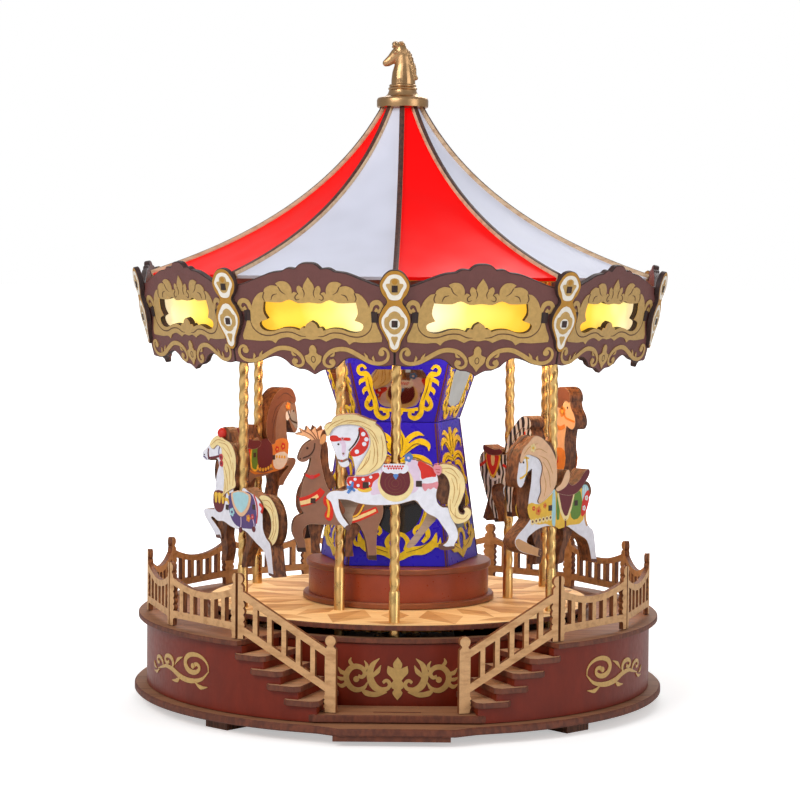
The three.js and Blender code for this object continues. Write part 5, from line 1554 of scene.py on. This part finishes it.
def golden_horse():
    horse = Rider("golden_horse")
    body = HEAD_DOWN + KNEE_BENT + HIND_PART
    for part in (body, FLOWING_MANE, SADDLE_SEAT, FAR_FORELEG, FAR_HINDLEG):
        horse.core(part)
    horse.core([(15, 1), (19, 2.4), (23, 1.4), (24.4, -3), (20, -5)], 1.8)
    horse.skin(body, "white")
    horse.hair([(-20, 20), (-16, 22.6), (-12, 22), (-8.6, 20), (-5, 17), (-2, 12.4), (-1.2, 7.4), (-1.6, 3),
                (-4, 0), (-8, -2.6), (-13, -4), (-11.4, 0.4), (-11.8, 5), (-10.6, 9.6), (-12.4, 13),
                (-16, 14.6), (-21, 15.4), (-24.6, 12.4), (-23.6, 17.4)], "peach",
               [[(-22.6, 15.8), (-19, 18.6), (-14, 19.6)], [(-18, 16.4), (-13, 17.4), (-8, 15.6)],
                [(-13, 14.8), (-7.6, 12.6), (-4, 7)], [(-10.4, 12), (-6.6, 7.4), (-5.6, 1.6)],
                [(-10.4, 8), (-8.4, 3), (-9.4, -1.6)]], rise=0.6)
    horse.flower(-17, 18, "cream", "yellow", 1.6, base=4.6)
    horse.dots([(-22.4, 12.6)], 0.45, "dark")
    horse.lines([[(-24.6, 6.4), (-22.6, 6.8), (-20.4, 8)], [(-20.6, 14.8), (-20, 11), (-20.4, 8)],
                 [(-24.4, 13.8), (-22, 14.4), (-19, 14)]], [0.7, 0.8, 0.6], "yellow", 0.2)
    horse.lines([[(-21.6, 4.8), (-19.8, 8), (-17, 9.6)]], [0.4, 0.6, 0.4], "dark")
    horse.patch([(-18.8, -4), (-12, -4.6), (-4, -1), (-2, 0.6), (-2, -13.4), (-8, -12.6), (-14, -12.4),
                 (-18.2, -9.4)], "yellow")
    horse.dots([(-16.2 + 2.3 * i, -11.4 + 0.16 * i) for i in range(6)], 1.15, "cream", 0.14)
    horse.dots([(-16.2 + 2.3 * i, -11.2 + 0.16 * i) for i in range(6)], 0.5, "maroon", 0.2)
    horse.flower(-12.6, -7.2, "orange", "red", 1.7)
    horse.flower(-15.6, -6, "red", "yellow", 0.9)
    horse.flower(-8.4, -5.4, "orange", "red", 1.1)
    horse.patch([(-3.4, -0.4), (-2, 0.6), (-1.6, -13.6), (-3.6, -13.2)], "sky", 0.18)
    horse.patch([(-1.8, 0.4), (10, 0.6), (17, -1), (17, -13), (8, -14.4), (-1.6, -14.2)], "yellow", 0.1)
    horse.patch([(9.6, -0.6), (15, -1.6), (15, -11), (9, -11.4)], "green", 0.16)
    horse.patch([(-0.6, 0), (1, 0), (1, -11.4), (-0.6, -11.4)], "green", 0.16)
    horse.patch([(0.2, 0.4), (10.4, 0), (9.6, -6), (8.4, -9), (5.4, -12.6), (2.4, -10), (0.8, -6.4)], "cream",
                0.3)
    horse.patch([(1, 1), (9.6, 0.6), (8.8, -5.2), (7.4, -8), (5.4, -10.6), (3, -8.4), (1.8, -5.4)], "maroon",
                0.4)
    horse.skin(SADDLE_SEAT, "maroon", 3, 4.5)
    horse.patch([(-1.8, 0.4), (1.6, 2.6), (4.4, 6.8), (6.2, 8), (7.2, 6.4), (6.4, 3), (3, 0.6)], "peach",
                0.12, base=4.5)
    horse.patch([(16.4, 0.6), (19, 1), (20.6, -1.6), (18.6, -6), (16.4, -5)], "sky", 0.16)
    horse.lines([[(17, 0.4), (17.2, -4.6)], [(18.2, 0.4), (18.4, -5)], [(19.4, -0.4), (19.4, -4)]],
                [0.3, 0.3], "white", 0.24)
    horse.patch([(18.4, -2), (20.6, -1.4), (20.4, -6.4), (16.4, -11.6), (15.6, -7.6)], "red", 0.26)
    horse.flower(18.9, -4.2, "white", "yellow", 1.0, base=4.2)
    horse.flower(17.3, -8.2, "white", "yellow", 1.0, base=4.2)
    horse.lines([[(17.4, -3), (18.2, -7.4), (18.4, -12.4), (19.6, -15.6)]], [0.6, 1.4, 0.8], "tan", 0.2)
    horse.lines([[(5, -11.6), (5.2, -14), (4.8, -16.4)]], [0.8, 0.9], "maroon", 0.3)
    horse.tenons([(-5, -6.6), (12, -5.8)], 1.1)
    horse.patch([(-26.6, -17.6), (-24.6, -21.6), (-16, -24.2), (-11.2, -25.3), (-10.6, -23), (-15.8, -21),
                 (-21.4, -18.6)], "tan", 0.08)
    horse.patch([(-12.6, -24.8), (-11.1, -25.4), (-10.4, -22.9), (-12, -22.4)], "hoof", 0.14, sharp=True)
    horse.patch([(23, -29.4), (26.6, -29.8), (27, -31.1), (23.3, -30.6)], "hoof", 0.1, sharp=True)
    horse.finish("white_animal")


def bay_horse():
    horse = Rider("bay_horse")
    body = HEAD_DOWN + KNEE_UP + HIND_PART
    mane = [(-24, 16), (-22, 21.4), (-17, 23), (-11, 22), (-6, 18), (-2.6, 12), (-1.6, 5), (-3, 1), (-8, -1),
            (-8.6, 5), (-10, 11), (-13, 15), (-18, 17)]
    for part in (body, mane, SADDLE_SEAT, ROUND_TAIL, FAR_FORELEG, FAR_HINDLEG):
        horse.core(part)
    horse.skin(body, "taupe")
    horse.hair(mane, "chestnut", [[(-22, 18), (-16, 20.6), (-10, 18.4)], [(-14, 17), (-8.6, 14), (-5.6, 8)],
                                  [(-10, 13), (-7, 7.4), (-6.4, 1)]], rise=0.4, line="dark")
    horse.hair(ROUND_TAIL, "chestnut", [[(19, -2), (24.6, -5), (25.6, -11)],
                                        [(26.6, -8), (26, -14), (22, -18)]], base=2.6, rise=0.3, line="dark")
    horse.skin([(2.4, 0.4), (9, 1.6), (13.6, 3.2), (17.4, 6.6), (20.2, 7.4), (20.4, 5.4), (17.4, 2),
                (12, -1.8), (5, -2.2)], "maroon", 3, 4.5)
    horse.patch([(-23.6, 12), (-21, 12.8), (-20, 9), (-22.6, 6.4), (-25.2, 4.6), (-25.4, 8)], "grey", 0.1)
    horse.dots([(-22.6, 12.4)], 0.5, "dark", 0.2)
    horse.lines([[(-25.6, 7), (-23, 7.6), (-20.6, 8.8), (-18, 13.4)]], [0.7, 0.8, 0.7], "dark", 0.2)
    horse.flower(-18.4, 14.6, "orange", "yellow", 1.7)
    horse.patch([(-19.4, 12.6), (-17, 12), (-17.4, 8.6), (-19.4, 9.6)], "white", 0.1)
    horse.patch([(-18.2, 0), (-8, 0), (-5, -4), (-7, -12), (-16, -11.6), (-18.6, -6)], "orange", 0.12)
    horse.patch([(-18.4, -6.4), (-9, -5.6), (-7, -9), (-9, -12), (-15, -11.8)], "white", 0.16)
    horse.flower(-14.6, -2.6, "red", "yellow", 1.5)
    horse.flower(-10, -3.6, "red", "yellow", 1.3)
    horse.dots([(-15.8 + 2 * i, -7.4 + 0.2 * i) for i in range(4)], 0.7, "yellow", 0.24)
    horse.patch([(-5, 0), (3.6, 0), (4.6, -9), (0, -13), (-5.6, -10.4)], "maroon", 0.3)
    horse.dots([(-5.2 + 2 * i, -10.6 - 1.2 * math.sin(0.6 * i)) for i in range(6)], 0.8, "yellow", 0.36)
    horse.patch([(4, 0.4), (9, 0.6), (9.4, -10), (4.8, -11.4)], "green", 0.2)
    horse.lines([[(4.2, 0), (5, -11.2), (9.4, -10), (9.2, 0.4)]], [0.9, 0.9], "yellow", 0.26)
    horse.patch([(9.8, -1), (13.4, -5.6), (12.4, -10.6), (9.6, -7)], "red", 0.2)
    horse.flower(11.2, -6, "yellow", "red", 0.9, base=4.2)
    horse.patch([(9.6, 0.6), (16.2, -1), (17.8, -5.6), (14, -5), (10.4, -1.4)], "grey", 0.12)
    horse.lines([[(11 + 1.5 * i, 0 - 0.3 * i), (12.6 + 1.4 * i, -3.6 - 0.4 * i)] for i in range(4)],
                [0.3, 0.4], "white", 0.2)
    horse.patch([(-16, -11.8), (6, -13.4), (12, -10.6), (8, -12), (-4, -13.6)], "orange", 0.1)
    horse.tenons([(-7.4, -7), (7, -5)], 1.0)
    horse.finish("brown_animal")


def deer():
    stag = Rider("deer")
    body = [(-17, 14.4), (-16.6, 12.7), (-14, 12.7), (-11.9, 14.6, 1), (-12.8, 10), (-15, 5), (-16, -0.4),
            (-16.6, -4), (-14.8, -8, 1), (-18.4, -10.4), (-19.2, -15.6), (-17.4, -20), (-17, -23.4, 1),
            (-13.8, -23.4, 1), (-14.2, -19.6), (-15.2, -15.4), (-13.4, -12.6), (-9, -12.4), (0, -12.8),
            (6, -11.8), (8.6, -15), (10.2, -19), (11.4, -26.8, 1), (14.6, -27, 1), (14.4, -20), (15, -14),
            (17, -8), (16, -2.4), (12, 0.4), (4, 0.6, 1), (-3, 0), (-5.4, 2.4), (-7.2, 8), (-8.4, 15),
            (-8, 21), (-10.4, 21.6), (-14.8, 19)]
    antlers = [(-10.6, 20.4), (-14.6, 22.6), (-18.4, 23.4), (-15.8, 24.2), (-16.6, 26), (-14.2, 24.8),
               (-13.6, 26.8), (-12, 24.9), (-10.2, 26.6), (-9.8, 24.6), (-7.2, 25.4), (-8.2, 23),
               (-8.4, 20.6)]
    rear_antlers = [(x + 2.4, y + 0.2) for x, y in antlers[4:]] + [(-8, 21), (-10, 21)]
    far_foreleg = [(-12, -9), (-6.6, -10), (-7.4, -16), (-8.2, -20), (-7.8, -24, 1), (-11.2, -24.2, 1),
                   (-11.4, -19), (-12.4, -14)]
    far_hindleg = [(4, -10), (9.4, -11), (7.4, -16), (5, -20), (5.4, -25.4, 1), (2.2, -25.6, 1), (2.2, -19),
                   (3, -14)]
    for part in (body, far_foreleg, far_hindleg, [(-2, 0), (1, 2.6), (6, 3.4), (9.6, 3), (9, 0), (4, -1)],
                 [(-8, 14), (-7.6, 21), (-5.6, 20), (-4.6, 10), (-2, 3), (-6, 2)]):
        stag.core(part)
    stag.core(rear_antlers, sharp=True)
    stag.skin(body, "taupe")
    stag.skin(antlers, "peach", 2.6, 3.6, sharp=True)
    stag.lines([[(-10.4, 21.4), (-12.4, 23.4), (-15.6, 25)], [(-9.8, 21.6), (-11.4, 24), (-13.2, 26)],
                [(-9.2, 21.6), (-9.6, 24), (-10.2, 25.8)]], [0.4, 0.3], "chestnut", 0.1, base=3.6)
    stag.patch([(-8.4, 21.6), (-6.6, 23.6), (-6.4, 21), (-8.2, 19.4)], "tan", 0.3)
    stag.dots([(-13.6, 18)], 0.5, "dark")
    stag.dots([(-16.4, 13.8)], 0.35, "dark")
    stag.lines([[(-15.4, 14), (-12.6, 15.2), (-11, 17.4), (-10.6, 20)]], [0.5, 0.6, 0.5], "dark")
    stag.lines([[(-14.2, 7.4), (-11.6, 6.4), (-8.6, 7.6)]], [1.0, 1.3, 1.0], "red", 0.2)
    stag.dots([(-11.6, 6.5)], 0.9, "rose", 0.3)
    stag.lines([[(-16.4, -3.6), (-12.6, -2.6), (-9, -0.4), (-7.4, 1.4)]], [3.6, 3.8, 3.2, 2.6], "red", 0.16)
    stag.lines([[(-16.3, -3.9), (-12.6, -3), (-9.2, -0.9)]], [1.6, 1.7, 1.3], "cream", 0.24)
    stag.patch([(-6.4, -1), (-3.4, -2.2), (-3, -6.4), (-4, -11), (-6.6, -9), (-5.6, -6), (-7, -4)], "red",
               0.16)
    stag.lines([[(-5.6, -2.4), (-4.8, -6), (-5.2, -9.6)]], [0.8, 1.0], "yellow", 0.24)
    stag.patch([(-2, 0), (9, 0), (9.4, -5), (6.4, -9.6), (0.4, -9.6), (-2.4, -5)], "chestnut", 0.3)
    stag.lines([[(-2.2, -4.6), (0.6, -9), (6.2, -9), (9.2, -4.6)]], [0.7, 0.7], "yellow", 0.36)
    stag.lines([[(0, -10.8), (5, -10.4), (10, -8.6), (14.6, -6.6)]], [3, 3, 2.6], "red", 0.12)
    stag.lines([[(0.6, -10.8), (5, -10.4), (10, -8.6), (14, -6.8)]], [1.3, 1.3, 1.1], "cream", 0.2)
    stag.tenons([(-11.2, -2.9), (10.6, -3.4)], 1.0)
    stag.patch([(-17.2, -21.6), (-14, -21.6), (-13.8, -23.3), (-17, -23.3)], "dark", 0.12, sharp=True)
    stag.patch([(11.2, -25), (14.5, -25), (14.6, -26.9), (11.4, -26.7)], "dark", 0.12, sharp=True)
    stag.finish("brown_animal")


def zebra():
    horse = Rider("zebra")
    body = [(-20, 12.8), (-23, 8), (-23.2, 3), (-21.6, 0.6), (-19.4, 2), (-17.6, 5.2), (-15.6, 5.6, 1),
            (-15.4, 1), (-15.8, -4), (-13.4, -9), (-9, -12), (-7.4, -18), (-7.6, -25.2, 1), (-3.6, -25.4, 1),
            (-2.8, -18), (-1, -12.8), (5, -12.8), (8.6, -14.6), (8, -19), (4.2, -24), (2.8, -28.4, 1),
            (6, -28.8, 1), (8.2, -24.4), (12.4, -19.6), (16, -13), (18.6, -8), (19, -3), (16, 0), (10, 1),
            (3, 0, 1), (-3, 0.4), (-6, 4), (-9.6, 9), (-14, 13.4)]
    mane = [(-2.4, 0.6), (-2.4, 4.2), (-5.4, 9), (-9.6, 13), (-14.4, 16.4), (-19.4, 16.8), (-22, 14),
            (-20, 11.6), (-15, 12), (-10, 8), (-6.4, 3.6)]
    far_foreleg = [(-14, -8), (-8, -11), (-10, -17), (-12.4, -20), (-14.6, -23.6), (-17, -22.4),
                   (-15.4, -18.4), (-15, -13)]
    far_hindleg = [(8, -12), (15, -13), (13.4, -19), (15.4, -24), (17.4, -28, 1), (14.2, -29, 1), (11.6, -24),
                   (9.6, -18)]
    seat = [(0, 0.4), (1.4, 2), (6, 1.6), (12, 2.4), (15.4, 2.8), (15, 0.4), (8, -1)]
    for part in (body, mane, far_foreleg, far_hindleg, seat):
        horse.core(part)
    horse.skin(body, "stripes")
    horse.skin(mane, "stripes", 3, 4.4)
    horse.skin(seat, "maroon", 3, 4.5)
    horse.dots([(-20.6, 9)], 0.5, "dark", 0.2)
    horse.patch([(-23, 3.4), (-21.6, 4.4), (-19.2, 3), (-19.6, 1.6), (-21.6, 0.8)], "black", 0.1)
    horse.lines([[(-22.8, 5.6), (-20.4, 6), (-18.4, 6.4), (-16.8, 10.6)]], [0.6, 0.7], "red", 0.2)
    horse.patch([(2.4, -0.4), (13.4, 0), (13, -5), (10, -9.4), (8, -10.8), (5.6, -8.8), (3, -4.6)], "yellow",
                0.14)
    horse.patch([(3.4, -0.6), (12.4, -0.4), (12, -4.6), (9.6, -8), (8, -9.2), (6, -7.6), (4, -4.2)], "red",
                0.24)
    horse.patch([(6.6, -0.8), (9, -0.8), (9, -4), (7.8, -5.4), (6.6, -4)], "cream", 0.34)
    horse.dots([(3 + 1.6 * i, -9.6 - 1.4 * math.sin(0.62 * i)) for i in range(6)], 0.7, "white", 0.2)
    horse.lines([[(-14.6, -5.6), (-8, -6.2), (0, -4.4)], [(13, -3.4), (16, -5), (18.4, -6)]], [1.2, 1.2],
                "red", 0.18)
    horse.tenons([(-6.2, -6.2)], 1.0)
    horse.patch([(-7.6, -23.4), (-3.8, -23.4), (-3.7, -25.3), (-7.5, -25.1)], "dark", 0.12, sharp=True)
    horse.patch([(3.2, -27), (6.6, -27), (6, -28.7), (2.9, -28.3)], "dark", 0.12, sharp=True)
    horse.finish("striped_animal", {"stripes": striped_coat(horse.turn)})


def camel():
    camel_rider = Rider("camel")
    body = [(-14, 24), (-19, 25), (-23.4, 22.4), (-24.6, 18.4), (-27.4, 15), (-28, 11.6), (-25.6, 9.4),
            (-21.4, 10.6, 1), (-20, 4), (-20.4, -4), (-18.4, -10), (-17.6, -14), (-18.4, -22),
            (-18.6, -29.6, 1), (-14.6, -29.8, 1), (-13.6, -22), (-11.4, -14), (6, -14), (10, -16),
            (11.4, -23), (11, -30, 1), (15, -30.2, 1), (15.8, -23), (17.4, -15), (20, -8), (18.6, -2),
            (14, 1), (11, 6), (7, 6.6), (4, 3), (3, 0, 1), (-3, 0, 1), (-5, 4.6), (-8.6, 5), (-11, 2.6),
            (-12.6, 8), (-12.2, 16)]
    tuft = [(-12.6, 20), (-13.4, 25.4), (-18, 27), (-23, 25.4), (-24, 21), (-20, 21.4), (-16.6, 18)]
    far_foreleg = [(-12, -12), (-6, -13), (-5, -20), (-8, -26), (-11, -25.4), (-9, -20)]
    far_hindleg = [(8, -12), (14, -13), (9, -20), (6, -25), (4, -29.6, 1), (0.6, -29, 1), (2.6, -23),
                   (6, -18)]
    for part in (body, tuft, far_foreleg, far_hindleg, [(17, -2), (21, -6), (20.4, -14), (18.4, -13),
                                                        (18.6, -7)]):
        camel_rider.core(part)
    camel_rider.skin(body, "peach")
    camel_rider.skin(tuft, "chestnut", 3, 4.4)
    camel_rider.dots([(-22, 18.4)], 0.5, "dark")
    camel_rider.lines([[(-27.6, 12.8), (-24, 13.4), (-20.4, 14.4), (-17, 19)]], [0.9, 1.0], "orange", 0.2)
    camel_rider.flower(-18.2, 16.6, "orange", "yellow", 2.2)
    camel_rider.lines([[(-20.2, 10.6), (-16.4, 9.4), (-12.6, 10.6)]], [1.6, 1.8], "orange", 0.2)
    camel_rider.patch([(-20.2, 0), (-12, 1), (-4, 1), (-3, -0.4), (3, -0.4), (9, 5.6), (15, -1), (18.4, -4),
                       (17, -11), (6, -13), (-10, -13), (-19, -9)], "orange", 0.12)
    camel_rider.patch([(-8, 0), (8, 0), (9, -8), (0, -12), (-9, -8)], "red", 0.24)
    camel_rider.lines([[(-9, -8), (0, -12), (9, -8)], [(-19.6, -8), (-10, -11.6), (-8, -12.4)]], [0.9, 0.9],
                      "yellow", 0.32)
    camel_rider.flower(-14, -4, "red", "yellow", 1.6)
    camel_rider.flower(13, -5, "red", "yellow", 1.6)
    camel_rider.flower(0, -6, "yellow", "maroon", 2)
    camel_rider.tenons([(-10.6, -6), (10.8, -6)], 1.0)
    camel_rider.finish("brown_animal")


def quiet_horse(name, coat, hair, cloth, trim, scale=1.0, legs=1.0):
    """The two riders behind the column: a plain coat, a blanket and a saddle."""
    horse = Rider(name)

    def fit(outline):
        return [(p[0] * scale, p[1] if p[1] > -13 else -13 + (p[1] + 13) * legs, *p[2:]) for p in outline]

    body = fit(HEAD_DOWN + KNEE_UP + HIND_PART)
    mane = fit(FLOWING_MANE)
    for part in (body, mane, fit(ROUND_TAIL), fit(FAR_FORELEG), fit(FAR_HINDLEG)):
        horse.core(part)
    horse.skin(body, coat)
    horse.hair(mane, hair, [[(x * scale, y) for x, y in path] for path in ([(-18, 18), (-13, 20), (-8, 19)],
                                                                           [(-10, 17.6), (-5.4, 14.4),
                                                                            (-3, 9)],
                                                                           [(-9.4, 14), (-5.4, 9.6),
                                                                            (-4.6, 3)])], rise=0.3,
               line="dark")
    horse.dots([(-22 * scale, 12.6)], 0.45, "dark")
    horse.lines([[(x * scale, y) for x, y in ((-25.6, 7), (-23, 7.6), (-20.6, 8.8), (-18, 13.4))]],
                [0.7, 0.8], trim, 0.2)
    horse.patch(fit([(-6, -0.4), (12, 0), (13, -6), (8, -12), (-4, -12), (-7, -6)]), cloth, 0.12)
    horse.patch(fit([(-3, -0.4), (6, -0.4), (5.6, -5), (1.6, -9), (-2.6, -5)]), "chestnut", 0.3)
    horse.lines([[(x * scale, y) for x, y in ((-7, -6), (-4, -11.6), (8, -11.6), (13, -6))]], [0.9, 0.9],
                trim, 0.2)
    horse.lines([[(x * scale, y) for x, y in ((-18, -5), (-12, -7), (-7, -6.4))]], [1.4, 1.4], trim, 0.18)
    horse.flower(9.6 * scale, -5, trim, cloth, 1.2)
    horse.tenons([(-9.6 * scale, -7)], 1.0)
    horse.finish("white_animal" if name == "grey_horse" else "brown_animal")


def riders():
    white_horse()
    plumed_horse()
    golden_horse()
    bay_horse()
    deer()
    zebra()
    camel()
    quiet_horse("grey_horse", "grey", "black", "blue", "yellow")
    quiet_horse("black_horse", "black", "grey", "red", "yellow", 0.85, 0.75)


def add_floor():
    """A wide white floor that keeps its shadows and melts into the backdrop further off."""
    floor = Build()
    floor.plate([(-9000, -3000), (9000, -3000), (9000, 15000), (-9000, 15000)], -1, 0, level_place(), face=0,
                edge=0)
    mesh = bpy.data.meshes.new("floor")
    mesh.from_pydata([(x * MM, y * MM, z * MM) for x, y, z in floor.points], [], floor.faces)
    material, tree, shader = new_material("floor")
    clouds = add_noise(tree, 3)
    tree.links.new(add_ramp(tree, clouds, [(0.3, (0.9, 0.9, 0.9)), (0.7, (0.93, 0.93, 0.93))]),
                   shader.inputs["Base Color"])
    place = tree.nodes.new("ShaderNodeTexCoord")
    reach = tree.nodes.new("ShaderNodeVectorMath")
    reach.operation = "LENGTH"
    tree.links.new(place.outputs["Object"], reach.inputs[0])
    fade = tree.nodes.new("ShaderNodeMapRange")
    for socket, value in (("From Min", 0.16), ("From Max", 0.5), ("To Min", 0.45), ("To Max", 1.0)):
        fade.inputs[socket].default_value = value
    tree.links.new(reach.outputs["Value"], fade.inputs["Value"])
    rays = tree.nodes.new("ShaderNodeLightPath")
    shader.inputs["Roughness"].default_value = 0.85
    shader.inputs["Emission Color"].default_value = (1, 1, 1, 1)
    tree.links.new(add_math(tree, "MULTIPLY", rays.outputs["Is Camera Ray"], fade.outputs["Result"]),
                   shader.inputs["Emission Strength"])
    mesh.materials.append(material)
    piece = bpy.data.objects.new("floor", mesh)
    bpy.context.scene.collection.objects.link(piece)


add_camera()
add_studio()
add_floor()
base_boards()
base_walls()
stairs()
base_prints()
inner_parts()
fences()
stair_rails()
turntable()
pedestal()
column()
cornice()
roof()
cap_and_finial()
poles()
riders()
